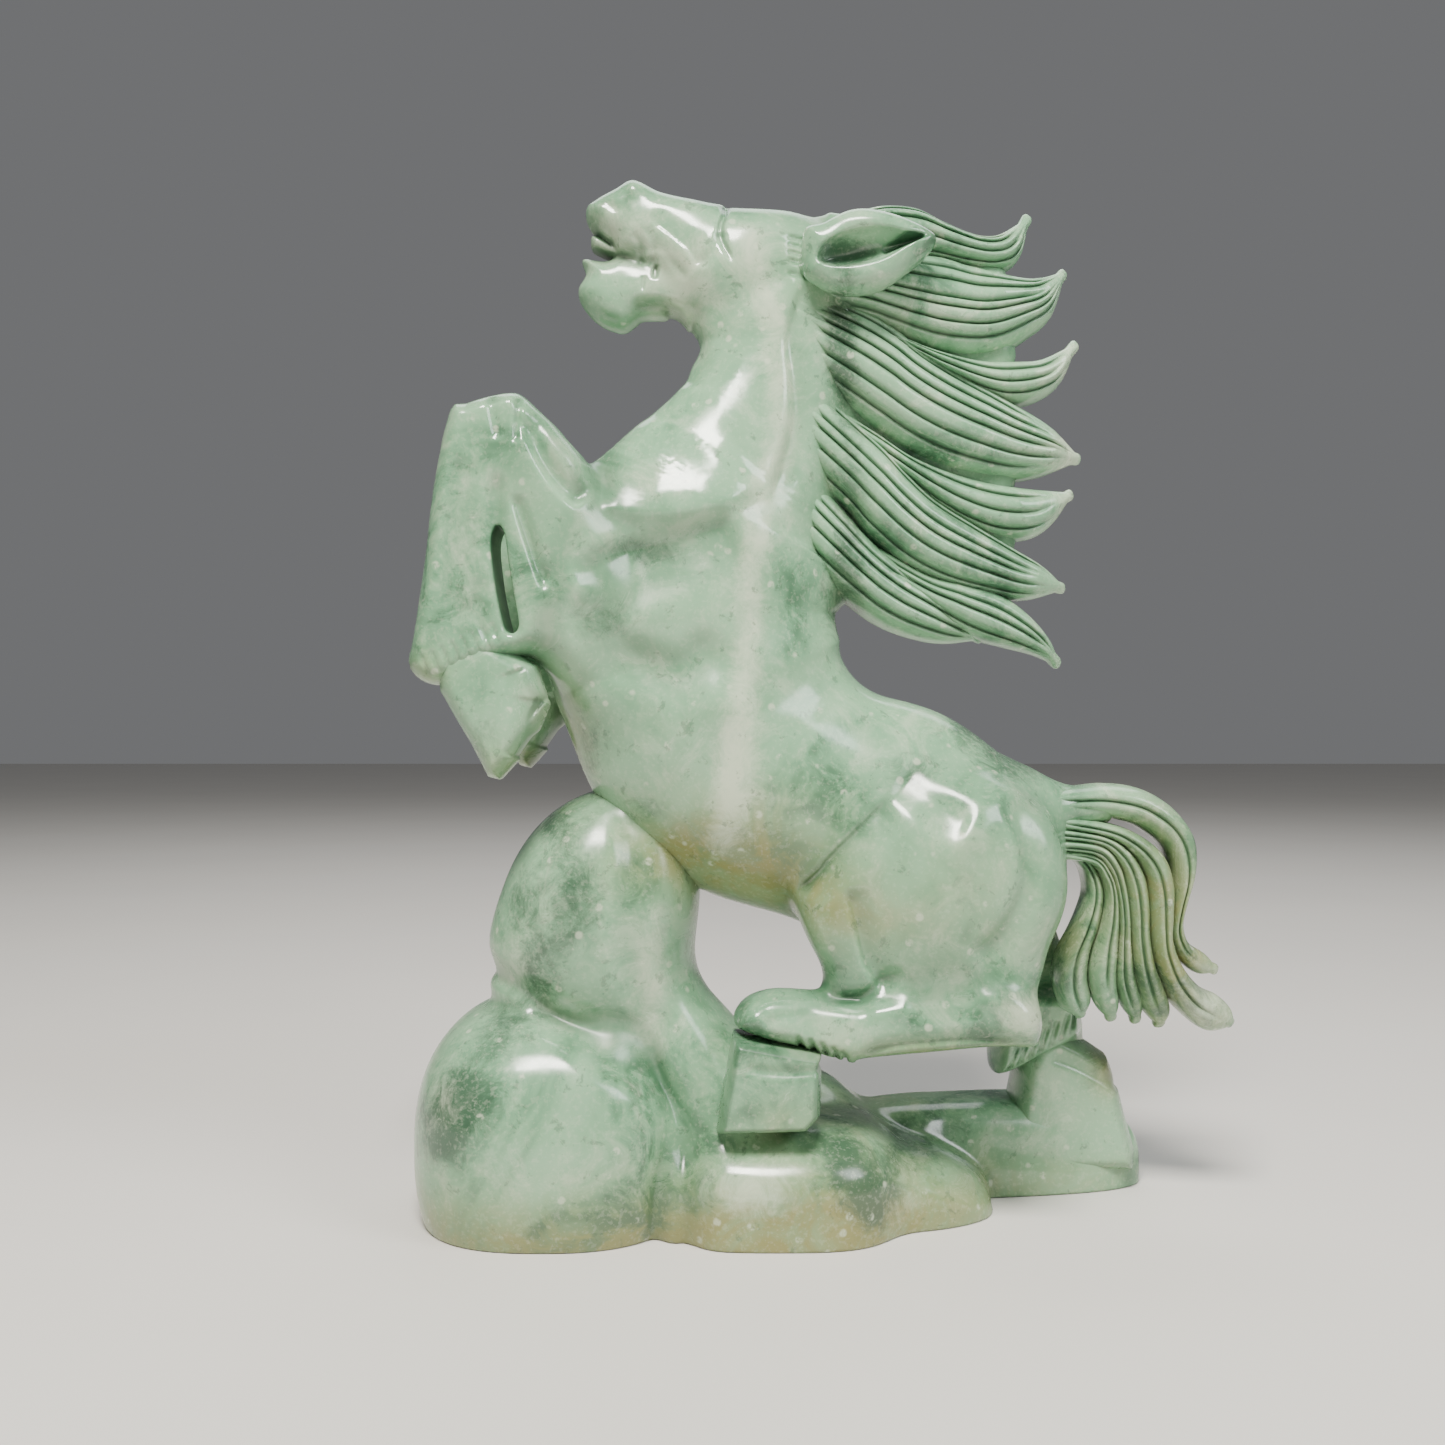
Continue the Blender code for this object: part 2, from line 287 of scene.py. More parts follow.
    def net_points(self, cells):
        """For each cell, the middle of the points where its edges cross the surface."""
        total = np.zeros((len(cells), 3))
        crossings = np.zeros(len(cells))
        for axis in range(3):
            for k in range(4):
                a = np.zeros(3, int)
                a[(axis + 1) % 3], a[(axis + 2) % 3] = k & 1, k >> 1
                b = a.copy()
                b[axis] = 1
                va = self.field[tuple((cells + a).T)]
                vb = self.field[tuple((cells + b).T)]
                crossed = (va < 0) != (vb < 0)
                t = np.where(crossed, va / np.where(crossed, va - vb, 1), 0)
                total += (a + np.outer(t, b - a)) * crossed[:, None]
                crossings += crossed
        place = cells + total / crossings[:, None]
        return self.low + self.cell * place[:, [1, 0, 2]]

    def net_quads(self, inside, cells):
        """For each edge of the grid that crosses the surface, a quad of the cells round it."""
        shape = tuple(n - 1 for n in inside.shape)
        flat = np.ravel_multi_index(cells.T, shape)
        quads = []
        for axis in range(3):
            u, v = (axis + 1) % 3, (axis + 2) % 3
            first = [slice(0, n) for n in inside.shape]
            second = list(first)
            first[axis], second[axis] = slice(0, -1), slice(1, None)
            here = inside[tuple(first)]
            edges = np.argwhere(here != inside[tuple(second)])
            fits = (edges[:, u] > 0) & (edges[:, v] > 0)
            fits &= (edges[:, u] < inside.shape[u] - 1) & (edges[:, v] < inside.shape[v] - 1)
            edges = edges[fits]
            ring = []
            for du, dv in ((-1, -1), (0, -1), (0, 0), (-1, 0)):
                cell = edges.copy()
                cell[:, u] += du
                cell[:, v] += dv
                ring.append(np.searchsorted(flat, np.ravel_multi_index(cell.T, shape)))
            ring = np.stack(ring, axis=1)
            out = here[tuple(edges.T)]
            quads.append(np.where(out[:, None], ring, ring[:, ::-1]))
        return np.vstack(quads)

    def surface(self):
        """Surface nets: one vertex in each cell that the surface crosses, and its quads."""
        inside = self.field < 0
        cells = self.crossed_cells(inside)
        points = self.settle(self.net_points(cells))
        # The field's axes run y, x, z, which turns every quad round.
        return points, self.net_quads(inside, cells)[:, ::-1]


def mesh_piece(name, points, faces, normals=None):
    """A smooth mesh object from points in millimetres."""
    mesh = bpy.data.meshes.new(name)
    mesh.from_pydata((points * MM).tolist(), [], [list(map(int, f)) for f in faces])
    mesh.shade_smooth()
    if normals is not None:
        mesh.normals_split_custom_set_from_vertices(normals.tolist())
    piece = bpy.data.objects.new(name, mesh)
    bpy.context.scene.collection.objects.link(piece)
    return piece


def mark(piece, name, values):
    """Stores a number on every vertex, for the material to read."""
    attribute = piece.data.attributes.new(name, "FLOAT", "POINT")
    attribute.data.foreach_set("value", np.ravel(values).astype(np.float32))


def read(items, key, width):
    """The numbers that mesh items store under the key, this many for each item."""
    flat = np.empty(len(items) * width, np.float32)
    items.foreach_get(key, flat)
    return flat.reshape(-1, width).astype(float)


def thinned(points, quads, ratio):
    """The same surface with this share of the faces, fewest where it is flat."""
    rough = mesh_piece("rough", points, quads)
    rough.modifiers.new("thin", "DECIMATE").ratio = ratio
    graph = bpy.context.evaluated_depsgraph_get()
    done = bpy.data.meshes.new_from_object(rough.evaluated_get(graph))
    points = read(done.vertices, "co", 3) / MM
    faces = [tuple(face.vertices) for face in done.polygons]
    bpy.data.objects.remove(rough, do_unlink=True)
    bpy.data.meshes.remove(done)
    return points, faces


MOST_TRIANGLES = 180_000
# Painted shade: a recess is darkened where the field this far off the surface is less than it is
# in the open.
LOOK_OUT = 3.0
OPEN = 2.7
FULLY_DARK = 0.7


def carved_piece(name, carving, shade=0.13):
    """The carving's surface as an object; shade is how much painted shade a cut of one millimetre
    gets.
    """
    points, faces = carving.surface()
    triangles = 2 * len(faces)
    if triangles > MOST_TRIANGLES:
        points, faces = thinned(points, faces, MOST_TRIANGLES / triangles)
        points = carving.settle(points)
    normals = carving.normals(points)
    piece = mesh_piece(name, points, faces, normals)
    # The cavity mark is painted shade: darker in narrow recesses and where the faces are cut deep.
    recess = (OPEN - carving.sample(points + LOOK_OUT * normals)) / (OPEN - FULLY_DARK)
    relief = np.clip(carving.relief_at(points) * shade, 0, 0.7)
    mark(piece, "cavity", np.maximum(np.clip(recess, 0, 1), relief))
    return piece


# ---- the horse
# Rows of a tube are (x, z, y, half width, half depth).

BELLY = [
    (33.5, 91.5, 0, 28, 26), (18, 98, 0, 31.5, 27), (0, 104, 0, 31, 28), (-15, 110.5, 0, 33, 28),
    (-26, 118, 0, 34, 27),
]
CHEST = [
    (-22, 117, 0, 32, 26), (-30, 131, 0, 36.5, 28), (-35.5, 148, 0, 37.5, 28),
    (-35, 165, 0, 38, 28), (-31, 179, 0, 35, 26.5), (-24, 191, 0, 29, 21.5),
    (-16.5, 206, 0, 25, 17.5), (-13, 219, 0, 22, 16), (-13, 230, 0, 23.5, 15.5),
    (-12.5, 240, 0, 20, 13), (-12, 246, 0, 10, 10),
]
HEAD = [
    (-6, 244, 0, 9, 11), (-18, 243.5, 0, 12.5, 14), (-30, 244.5, 0, 12.5, 13.5),
    (-40, 248.5, 0, 10.5, 11.5), (-47, 252, 0, 8.5, 10), (-52.5, 254.5, 0, 5.5, 8),
]
MUZZLE = [
    (-62, 257.6), (-59.5, 259.3), (-54.5, 261.8), (-51.5, 264.2), (-48.5, 264.2), (-43, 260.8),
    (-34, 258.8), (-26.8, 257.2), (-26, 255.6), (-16, 255), (-7, 253), (-2, 246), (-6, 236),
    (-20, 231), (-32, 234), (-38, 241), (-46, 243.5), (-53.8, 244.8), (-55.3, 248), (-59, 251),
    (-61.8, 254.4),
]
JAW = [
    (-63.2, 244.6), (-57.5, 244.1), (-53, 245.2), (-46, 244), (-38, 241), (-32, 234),
    (-35.5, 225.5), (-38, 227.6), (-41, 229.8), (-47, 229.8), (-49.5, 227.8), (-53, 226),
    (-59, 228.2), (-63.4, 233), (-64.3, 237), (-62.4, 240.6),
]
TOOTH = [(-61, 248), (-60.2, 250.6), (-54, 247), (-54, 244.5), (-59.5, 246.6)]
LOWER_JAW = [(-36, 235, 0, 6, 9), (-47, 236, 0, 6.5, 8.5), (-56, 235.5, 0, 6.5, 7.5)]
TAIL_HEAD = [(52, 104, 0, 8, 10), (62, 103, 0, 6, 9), (70, 103.5, 0, 5, 8)]
FORELEG_Y = 22
FOREARM = [
    (-54, 136, -13, 11, 12), (-58, 148, -18, 16, 13), (-62, 163, -20, 14.5, 11.8),
    (-67, 178, -21.5, 9.5, 10), (-73, 190, -22, 6.5, 9.5),
]
FORELEG = [
    (-93.2, 200.4), (-89, 202.4), (-84, 204), (-78, 205), (-75, 204), (-71, 200), (-66, 194.2),
    (-60.5, 187), (-61, 176), (-66, 164), (-68, 152), (-70, 144.5), (-76, 141.5), (-85, 138.8),
    (-94.5, 134.2), (-100.5, 135.4), (-103.2, 139.5), (-102, 146), (-99.2, 165), (-97.2, 182),
]
SLIT = [
    (-80.6, 168.5), (-81, 165), (-80.2, 158), (-78.7, 151.5), (-77.3, 148), (-76.9, 149),
    (-77.4, 152), (-78.9, 158.5), (-80, 165),
]
STIFLE = [(-8, 84), (-6, 75)]
HAUNCH = [(56, 84), (50, 102), (38, 110), (20, 110), (7, 101), (-1, 92)]
NEAR_THIGH = STIFLE + [
    (-2.6, 68), (-1.8, 63), (-2, 56), (10, 52), (30, 52), (44, 54), (50, 60), (53, 70),
] + HAUNCH
FAR_THIGH = STIFLE + [(-2, 68), (8, 64), (24, 62), (40, 62), (50, 68)] + HAUNCH
HIND_CANNON = [
    (-24, 51.8), (-22.5, 56.5), (-16, 60), (-5, 60.6), (10, 60), (25, 61.5), (38, 63), (45, 61),
    (49, 56.5), (50, 51), (48.3, 46.6), (40, 46.6), (24, 45.2), (7, 43.6), (4, 42.6), (-9, 46.4),
    (-18, 48.8),
]
FAR_HIND_CANNON = [
    (48, 82, 20, 9, 9), (55, 68, 20, 8.5, 8.5), (59, 56, 20, 8.5, 8.5), (61, 45, 21, 9.5, 9),
    (62, 38, 21, 9.5, 9),
]
FAR_FETLOCK = [
    (45.5, 32), (49, 30.6), (58, 35), (67.5, 40.2), (69, 45), (65, 54), (50, 54), (46, 44),
]
# What the carver took away in front of the throat and above the shoulder
THROAT_CUT = [
    (-98, 187), (-72, 188), (-62, 190.6), (-55, 194.6), (-47, 202), (-40, 208), (-36.4, 212.5),
    (-35.2, 218), (-35.2, 225), (-38, 231), (-60, 238), (-98, 236),
]
MANE_WEB = [
    (-4, 250), (14, 252), (34, 246), (46, 242), (46, 232), (49, 220), (46, 209), (49, 199),
    (49, 188), (47, 180), (49, 172), (44, 160), (40, 154), (33, 149), (22, 149), (8, 156),
    (-4, 166),
]


# The far foreleg and its hoof show a little behind and above the near ones.
AT_PLACE = (0, 0)
FAR_LEG_SHIFT = (1, 1)
FAR_HOOF_SHIFT = (1.5, 1.5)


def moved(rows, shift):
    """Rows that start with x and z, with both shifted."""
    return [(row[0] + shift[0], row[1] + shift[1], *row[2:]) for row in rows]


def add_head(work):
    work.add(work.tube(HEAD, 2.3), 4)
    work.add(work.plate(MUZZLE, 0, 9.2, 6, steps=5), 5)
    work.add(work.blob((-26, 0, 240), (15, 14.8, 14)), 4)
    work.add(work.tube(LOWER_JAW, 2.3), 3)
    work.add(work.plate(JAW, 0, 7.5, 6, steps=5), 1.2)
    work.add(work.plate(TOOTH, 0, 5, 1.6, steps=4), 0.6)


def add_thigh(work, outline, side):
    work.add(work.plate(outline, side * 19, 10, 9), 6)
    work.add(work.blob((24.5, side * 20.5, 85), (31.5, 13.5, 24), 12), 6)


def add_foreleg(work, side, shift):
    arm = [(x, z, -side * y, wide, deep) for x, z, y, wide, deep in moved(FOREARM, shift)]
    work.add(work.tube(arm, 2.2), 7)
    leg = work.plate(moved(FORELEG, shift), side * FORELEG_Y, 9.5, 4.5, steps=3)
    work.add(leg, 5)


def carve_horse():
    work = Carving((-108, -39, 30), (80, 39, 268), 0.5)
    work.add(work.tube(BELLY))
    work.add(work.blob((41, 0, 81), (18.5, 21, 18)), 6)
    work.add(work.tube(CHEST), 8)
    work.add(work.plate(THROAT_CUT, 0, THROUGH, 7), 5, cut=True)
    work.add(work.plate(MANE_WEB, 0, 5.5, 5), 6)
    add_head(work)
    work.add(work.tube(TAIL_HEAD), 5)
    add_thigh(work, NEAR_THIGH, -1)
    work.add(work.plate(HIND_CANNON, -23, 9.3, 5, steps=4), 4)
    add_thigh(work, FAR_THIGH, 1)
    work.add(work.tube(FAR_HIND_CANNON, 2.3), 5)
    work.add(work.plate(FAR_FETLOCK, 18, 11.5, 5), 3)
    add_foreleg(work, -1, AT_PLACE)
    add_foreleg(work, 1, FAR_LEG_SHIFT)
    work.add(work.plate(SLIT, 0, THROUGH, 0.8, steps=4), 0.8, cut=True)
    cut_chest(work)
    cut_neck(work)
    cut_head(work)
    cut_foreleg(work, "near", AT_PLACE)
    cut_foreleg(work, "far", FAR_LEG_SHIFT)
    for face in ("near", "far"):
        cut_hindquarter(work, face)
    cut_hind_cannon(work)
    work.press_relief()
    return work


# Creases, muscles and small features, cut into the two faces of the slab


def cut_chest(work):
    cut, press = work.groove, work.hollow
    cut([(-58, 178.5), (-48, 176.5), (-36, 176.5), (-26, 179), (-17, 186)], 3.0, -1.8, 11)
    cut([(-63, 158), (-50, 165.5), (-36, 169), (-22, 174)], 11, 3.2, 4.0)
    cut([(-61, 158), (-55, 147), (-46, 140), (-36, 139), (-26, 148)], 7.0, 2.6, 4.5)
    press(-52, 152, 9, 5, 35, 1.6)
    press(-38, 152, 12, 6, 16, -0.8)
    press(-26, 128, 8, 6, -40, -1.2)
    press(-8, 132, 12, 8, 30, 1.0)
    press(-66, 140, 8, 12, 0, -0.8)
    press(-48, 118, 16, 12, 40, -1.0)


def cut_neck(work):
    cut, press = work.groove, work.hollow
    edge = [(-4, 238), (-8, 229), (-10, 220), (-9, 210), (-9, 200), (-12, 188), (-16, 176)]
    cut(edge, 1.6, 1.5, 4)
    cut([(-35, 226), (-33, 221), (-32, 214), (-36, 208)], 2.5, 0.8)
    press(-22, 205, 9, 14, -20, -0.9)
    press(2, 205, 5, 26, 0, 1.2)


def cut_head(work):
    cut, press = work.groove, work.hollow
    cut([(-26, 259), (-26.5, 253), (-27.5, 249), (-27, 245), (-24, 239)], 0.8, 1.0)
    cut([(-51, 245), (-43, 245), (-40, 242), (-35, 236)], 1.1, 0.6, 3.2)
    cut([(-46, 253), (-39, 247.5), (-35, 243.5), (-32, 238)], 1.0, 0.7, 3.2)
    cut([(-28, 248), (-29, 244), (-33, 239)], 0.9, 0.6, 2.0)
    cut([(-51, 231.5), (-45, 232), (-41, 231), (-37, 227.5), (-35, 223)], 1.2, 1.2)
    cut([(-46.5, 250), (-44.5, 246), (-44.8, 241)], 0.7, 0.5, 2.0)
    cut([(-50, 249), (-48, 246), (-48, 241)], 0.7, 0.4, 2.0)
    press(-55, 255.5, 2.2, 1.3, -30, 0.7)
    press(-49, 260.6, 3.4, 2.4, 10, -0.7)
    cut([(-47, 238.5), (-47.4, 234.5)], 0.6, 0.6)
    cut([(-44, 241.5), (-44.2, 237.5)], 0.6, 0.6)
    for low, tall in ((247, 246), (245.2, 244), (243.2, 242), (241, 240), (237.5, 236.5)):
        cut([(-11, low), (-8, (low + tall) / 2), (-5, tall)], 0.55, 0.7)


def cut_foreleg(work, face, shift):
    def cut(rows, wide, deep, other=None):
        work.groove(moved(rows, shift), wide, deep, other, face)

    cut([(-75, 199), (-70, 188), (-65.5, 181.6), (-60, 176.5)], 1.4, 2.4, 3.0)
    cut([(-77, 180), (-73.2, 168.2), (-69, 156)], 1.0, 1.7, 2.2)
    cut([(-82.6, 203), (-82, 199), (-80.6, 192)], 0.9, 0.9, 2.0)
    cut([(-75.7, 203), (-75.8, 198), (-76.2, 191)], 0.8, 0.9)
    cut([(-81, 186), (-81, 176), (-80.4, 166), (-78.4, 152), (-76.8, 144)], 1.8, 2.2, 2.4)
    cut([(-90.4, 190), (-91, 177), (-91.7, 165), (-93.6, 144)], 1.3, 1.0, 6)
    cut([(-86, 160), (-85, 150), (-82, 144)], 1.6, 0.8, 3.0)
    # The fringe of the fetlock
    for k in range(8):
        x, z = -97.4 + 2.4 * k, 136.8 + 1.08 * k
        cut([(x - 1.8, z + 4.8), (x - 0.4, z + 1.6), (x + 0.3, z - 0.8)], 0.4, 0.6, 0.6)


def cut_hindquarter(work, face):
    cut, press = work.groove, work.hollow
    cut([(14, 107), (7, 100), (0, 93), (-4, 88), (-9, 83)], 1.2, 1.3, 5.5, face)
    cut([(14, 111), (20, 106.5), (26, 103), (32, 99.5)], 5.0, 0.8, 4.5, face)
    cut([(41, 108), (45, 99), (46, 90), (44, 82), (39, 74), (31, 68)], 2.4, 2.0, 5, face)
    cut([(3, 86), (5.5, 77), (8, 68), (13, 60)], 1.4, 2.0, 3.6, face)
    press(26, 104, 8, 4, -28, 0.6, face)
    press(32, 98, 8, 5, 60, -1.2, face)
    press(22, 78, 9, 12, 10, -1.0, face)
    press(-2, 72, 3, 8, 10, -1.2, face)


def cut_hind_cannon(work):
    cut, press = work.groove, work.hollow
    cut([(-19, 53), (-10, 56.5), (0, 57.5), (10, 56)], 2.0, 1.5, 3.4, "near")
    cut([(16, 56), (26, 57), (36, 58)], 3, 0.8, 3, "near")
    cut([(17, 67), (9, 60.5), (-1, 57), (-12, 54)], 1.8, 1.3, 4, "near")
    press(44.5, 54.5, 6, 5, 0, -1.2, "near")
    press(-17, 54.5, 6, 3.6, -15, -0.7, "near")
    cut([(5, 46), (14, 48), (24, 49), (34, 49.6), (45, 49.4)], 0.9, 1.6, 2.4, "near")
    for x, z in ((-8.5, 48.6), (-5.5, 48), (-2.8, 47.2), (0, 46), (2.2, 45)):
        cut([(x - 1, z + 2.2), (x, z), (x + 1, z - 2.2)], 0.6, 1.1, None, "near")
    # The fringe of the far fetlock
    for k in range(7):
        x, z = 49.5 + 2.7 * k, 33.2 + 1.7 * k
        cut([(x + 1.6, z + 7), (x + 0.4, z + 3), (x - 0.8, z - 1.5)], 0.6, 1.0)


FRONT_HOOF = [
    (-97, 141), (-95.5, 132.5), (-88, 120), (-84, 111.8), (-81, 111), (-76, 116.5),
    (-71.5, 123), (-69, 129.5), (-72, 139), (-84, 146),
]
NEAR_HIND_HOOF = [(-24.5, 50), (-3, 46), (-3.4, 31), (-6.8, 27.2), (-28.6, 26.6)]
FAR_HIND_HOOF = [
    (53, 34), (56, 41), (63, 43.5), (69.5, 40), (77, 35), (79.5, 29), (82, 19), (84.6, 10),
    (84, 4), (52, 4), (50, 18),
]


def carve_front_hooves():
    work = Carving((-106, -36, 106), (-62, 38, 152), 0.45)
    heel = [(-70.5, 129), (-73.5, 131.5), (-76, 138)]
    side_edge = [(-76.5, 116), (-74, 122), (-72.5, 131)]
    for side, face, shift in ((-1, "near", AT_PLACE), (1, "far", FAR_HOOF_SHIFT)):
        hoof = work.plate(moved(FRONT_HOOF, shift), side * FORELEG_Y, 8.8, 4.5, steps=0)
        work.add(hoof)
        for row in (heel, side_edge):
            work.groove(moved(row, shift), 1.6, 1.1, 4, face, (0.05, 0.05))
        work.hollow(-84 + shift[0], 128 + shift[1], 7, 8, 0, -0.7, face)
    work.press_relief()
    return work


def carve_hind_hooves():
    work = Carving((-34, -38, 0), (92, 36, 56), 0.45)
    work.add(work.plate(NEAR_HIND_HOOF, -24, 10.2, 2.2, steps=0))
    work.add(work.plate(FAR_HIND_HOOF, 20, 11.5, 5.0, steps=0))
    coronet = [(-22, 43.2), (-16, 42.2), (-10, 42), (-3, 42.6)]
    work.groove(coronet, 0.9, 0.8, 1.6, "near", (0.1, 0))
    work.hollow(-16, 35, 9, 6, 0, -0.5, "near")
    work.groove([(60, 36), (68, 33), (79, 27)], 1.0, 0.8, 2.2, "far", (0.1, 0))
    work.press_relief()
    return work


EAR = [
    (-7, 246), (-2, 248), (4, 251), (10, 251.3), (18, 249), (25.5, 244.8), (23, 239.5),
    (18, 235.5), (12, 231.5), (5, 230.2), (0, 231), (-4, 233), (-7, 236),
]
EAR_CUP = [
    (-4.2, 238.6), (-2.5, 241.9), (1.5, 244.6), (7, 246.2), (13, 246.2), (18, 245.2),
    (22.5, 244), (17, 240.2), (12, 237.6), (6, 236.2), (1, 235.9), (-2.6, 236.6),
]


def carve_ear():
    work = Carving((-12, -28, 226), (30, -8, 256), 0.28)
    work.add(work.plate(EAR, -18.5, 5.2, 6))
    work.add(work.tube([(-3, 240, -13, 5, 6), (1.5, 240.5, -16, 5.5, 5)]), 2)
    work.add(work.plate(EAR_CUP, -26, 7.4, 5.0), 0.7, cut=True)
    fold = [(12, 240.5), (17, 242.4), (21, 243.6), (25, 244.6)]
    work.groove(fold, 0.7, 0.9, 1.4, ends=(0.1, 0.3))
    # This hollow deepens the cup a little and, through the relief, paints shade inside it.
    work.hollow(3.5, 240.2, 7, 2.6, 5, 1.2)
    work.hollow(9, 247.6, 9, 2.2, 0, -0.6)
    work.hollow(8, 233.8, 8, 2.0, 12, -0.6)
    work.press_relief()
    return work


# ---- the rock

class RockCarving(Carving):
    def lump(self, centre, radii, power, turn=0, lean=0, blend=0.0):
        """A rounded boulder: a superellipsoid turned about z, then leaned in x-z."""
        ct, st = math.cos(math.radians(turn)), math.sin(math.radians(turn))
        cl, sl = math.cos(math.radians(lean)), math.sin(math.radians(lean))
        dx = (self.xs - centre[0])[:, None]
        dz = (self.zs - centre[2])[None, :]
        for j, y in enumerate(self.ys):
            dy = y - centre[1]
            px, py = dx * ct + dy * st, dy * ct - dx * st
            u = np.abs((px * cl + dz * sl) / radii[0]) + 1e-6
            v = np.abs(py / radii[1]) + 1e-6
            w = np.abs((dz * cl - px * sl) / radii[2]) + 1e-6
            size = (u**power + v**power + w**power) ** (1 / power)
            steep = np.sqrt(
                sum((s ** (power - 1) / radius) ** 2 for s, radius in zip((u, v, w), radii))
            ) * size ** (1 - power)
            self.field[j] = soft_min(self.field[j], (size - 1) / steep, blend)


ROCK_PILLAR = [
    (-47, 100, 1, 9, 15), (-48, 86, 1, 8, 16), (-48.5, 74, 1, 8, 17), (-46, 62, 1, 9, 18),
    (-40, 50, 1, 11, 20), (-34, 38, 0, 15, 23), (-29, 25, -1, 20, 26), (-26, 6, -2, 24, 28),
]
# The notch between the boulders, which runs on down the front of the pillar
NEAR_NOTCH = [
    (-98, 66), (-88, 62.5), (-80, 60.5), (-74, 57.5), (-68.4, 53), (-62, 48.5), (-55.5, 43.8),
    (-50, 41), (-44.4, 37.6), (-39, 32.5), (-36, 26), (-35.6, 14), (-35.6, 0),
]
FAR_NOTCH = [(-98, 66), (-88, 62), (-76, 57), (-62, 48), (-48, 38), (-36, 26), (-35, 0)]


def carve_rock():
    work = RockCarving((-108, -42, -2), (96, 42, 112), 0.62)
    work.lump((-61, 1, 73), (32.5, 25, 24.5), 2.4, lean=70)
    work.add(work.tube(ROCK_PILLAR, 2.6), 12)
    work.lump((-70, 0, 18), (35.2, 38, 37.5), 2.5, blend=4)
    work.lump((-14, -6, 7), (31, 29.5, 18.5), 3.2, blend=4)
    work.lump((13, -4, 6), (31, 19, 14.5), 2.5, turn=14, lean=-15, blend=7)
    work.lump((40, 19.5, 3), (47, 15.5, 20.5), 3.2, turn=7, blend=2.5)
    work.lump((-24, 16, 10), (36, 20, 24), 2.6, blend=6)
    cut, press = work.groove, work.hollow
    cut(NEAR_NOTCH, 2.6, 2.3, 4.6, "near", (0, 0))
    cut(FAR_NOTCH, 2.6, 2.2, 4.6, "far", (0, 0))
    cut([(-54, 108), (-49, 94), (-50, 80), (-49.5, 68), (-46, 57), (-40, 44)], 3.5, 1.3, 8)
    ledge = [(8, 23), (16, 18), (24, 13.2), (32, 9.6), (40, 5.5), (44, 1)]
    cut(ledge, 2.0, 1.6, 5.0, "near", (0.25, 0))
    cut([(26, 20), (40, 14), (56, 11), (74, 9)], 4, 0.9, 4, "far")
    press(-90, 30, 9, 14, 0, -1.0)
    press(-62, 34, 12, 9, 0, 0.7)
    press(-70, 76, 8, 14, 20, -1.0)
    press(-15, 14, 12, 6, 0, -0.8)
    work.press_relief()
    work.keep_above(0.0)
    return work


# ---- mane and tail

def resample(rows, count):
    """The curve through (x, z) rows at equal steps of its own length."""
    line = smooth_curve(rows, 12)
    run = np.concatenate([[0], np.cumsum(np.linalg.norm(np.diff(line, axis=0), axis=1))])
    at = np.linspace(0, run[-1], count)
    return np.stack([np.interp(at, run, line[:, k]) for k in range(line.shape[1])], axis=1)


def rib_layout(rng, ribs, per_rib):
    """Across a lock, for each point: share of the width, and number of the rib it is on."""
    widths = rng.uniform(0.6, 1.5, ribs)
    edges = np.concatenate([[0], np.cumsum(widths)]) / widths.sum()
    spots, ids = [], []
    for k in range(ribs):
        for j in range(per_rib + (k == ribs - 1)):
            share = 0.5 - 0.5 * math.cos(math.pi * j / per_rib)
            spots.append(edges[k] + (edges[k + 1] - edges[k]) * share)
            ids.append(k + share)
    return np.array(spots), np.array(ids)


def rib_grooves(rng, t, ids, ribs):
    """The nearest groove: how open it is, how far its ribs round down to it, and how far off."""
    starts = rng.uniform(-0.4, 0.08, ribs + 1)
    stops = rng.uniform(0.86, 1.02, ribs + 1)
    nearest = np.round(ids).astype(int)
    live = ramp(t[:, None] - starts[nearest], 0, 0.12)
    live = live * ramp(stops[nearest] - t[:, None], 0, 0.16)
    inner = (ids >= 0.5) & (ids <= ribs - 0.5)
    swell = np.where(inner, np.abs(2 * (ids - np.floor(ids)) - 1) ** 3, 0)
    off_groove = np.where(inner, np.abs(ids - nearest), 1)
    return live, swell, off_groove


TIP_RADIUS = 1.5
SQUARENESS = 2.4


def rounded_tip(top, bottom, t, half):
    """Middle line, vectors to the upper edge, half depths and widths, with a round tip."""
    centre, span = (top + bottom) / 2, top - bottom
    width = np.linalg.norm(span, axis=1)
    upward = span / np.maximum(width, 0.4)[:, None]
    upward[width < 0.8] = upward[width >= 0.8][-1]
    upward /= np.linalg.norm(upward, axis=1, keepdims=True)
    length = np.linalg.norm(np.diff(centre, axis=0), axis=1).sum()
    left = (1 - t) * length / TIP_RADIUS
    cap = TIP_RADIUS * np.sqrt(np.clip(1 - (1 - np.clip(left, 0, 1)) ** 2, 0, 1))
    width = np.maximum(width, 2 * cap)
    half = np.maximum(half * np.minimum(1, left + 0.02), cap)
    return centre, upward * width[:, None] / 2, half, width


def skin(rings, tip):
    """Points and faces of rings joined in a row, flat at the root and closed at the tip."""
    count, sides, _ = rings.shape
    points = np.vstack([rings[:-1].reshape(-1, 3), [tip]])
    faces = []
    for a in range(0, (count - 2) * sides, sides):
        b = a + sides
        for j in range(sides):
            k = (j + 1) % sides
            faces.append((a + j, a + k, b + k, b + j))
    end = (count - 2) * sides
    for j in range(sides):
        faces.append((end + j, end + (j + 1) % sides, len(points) - 1))
    faces.append(tuple(range(sides))[::-1])
    return points, faces


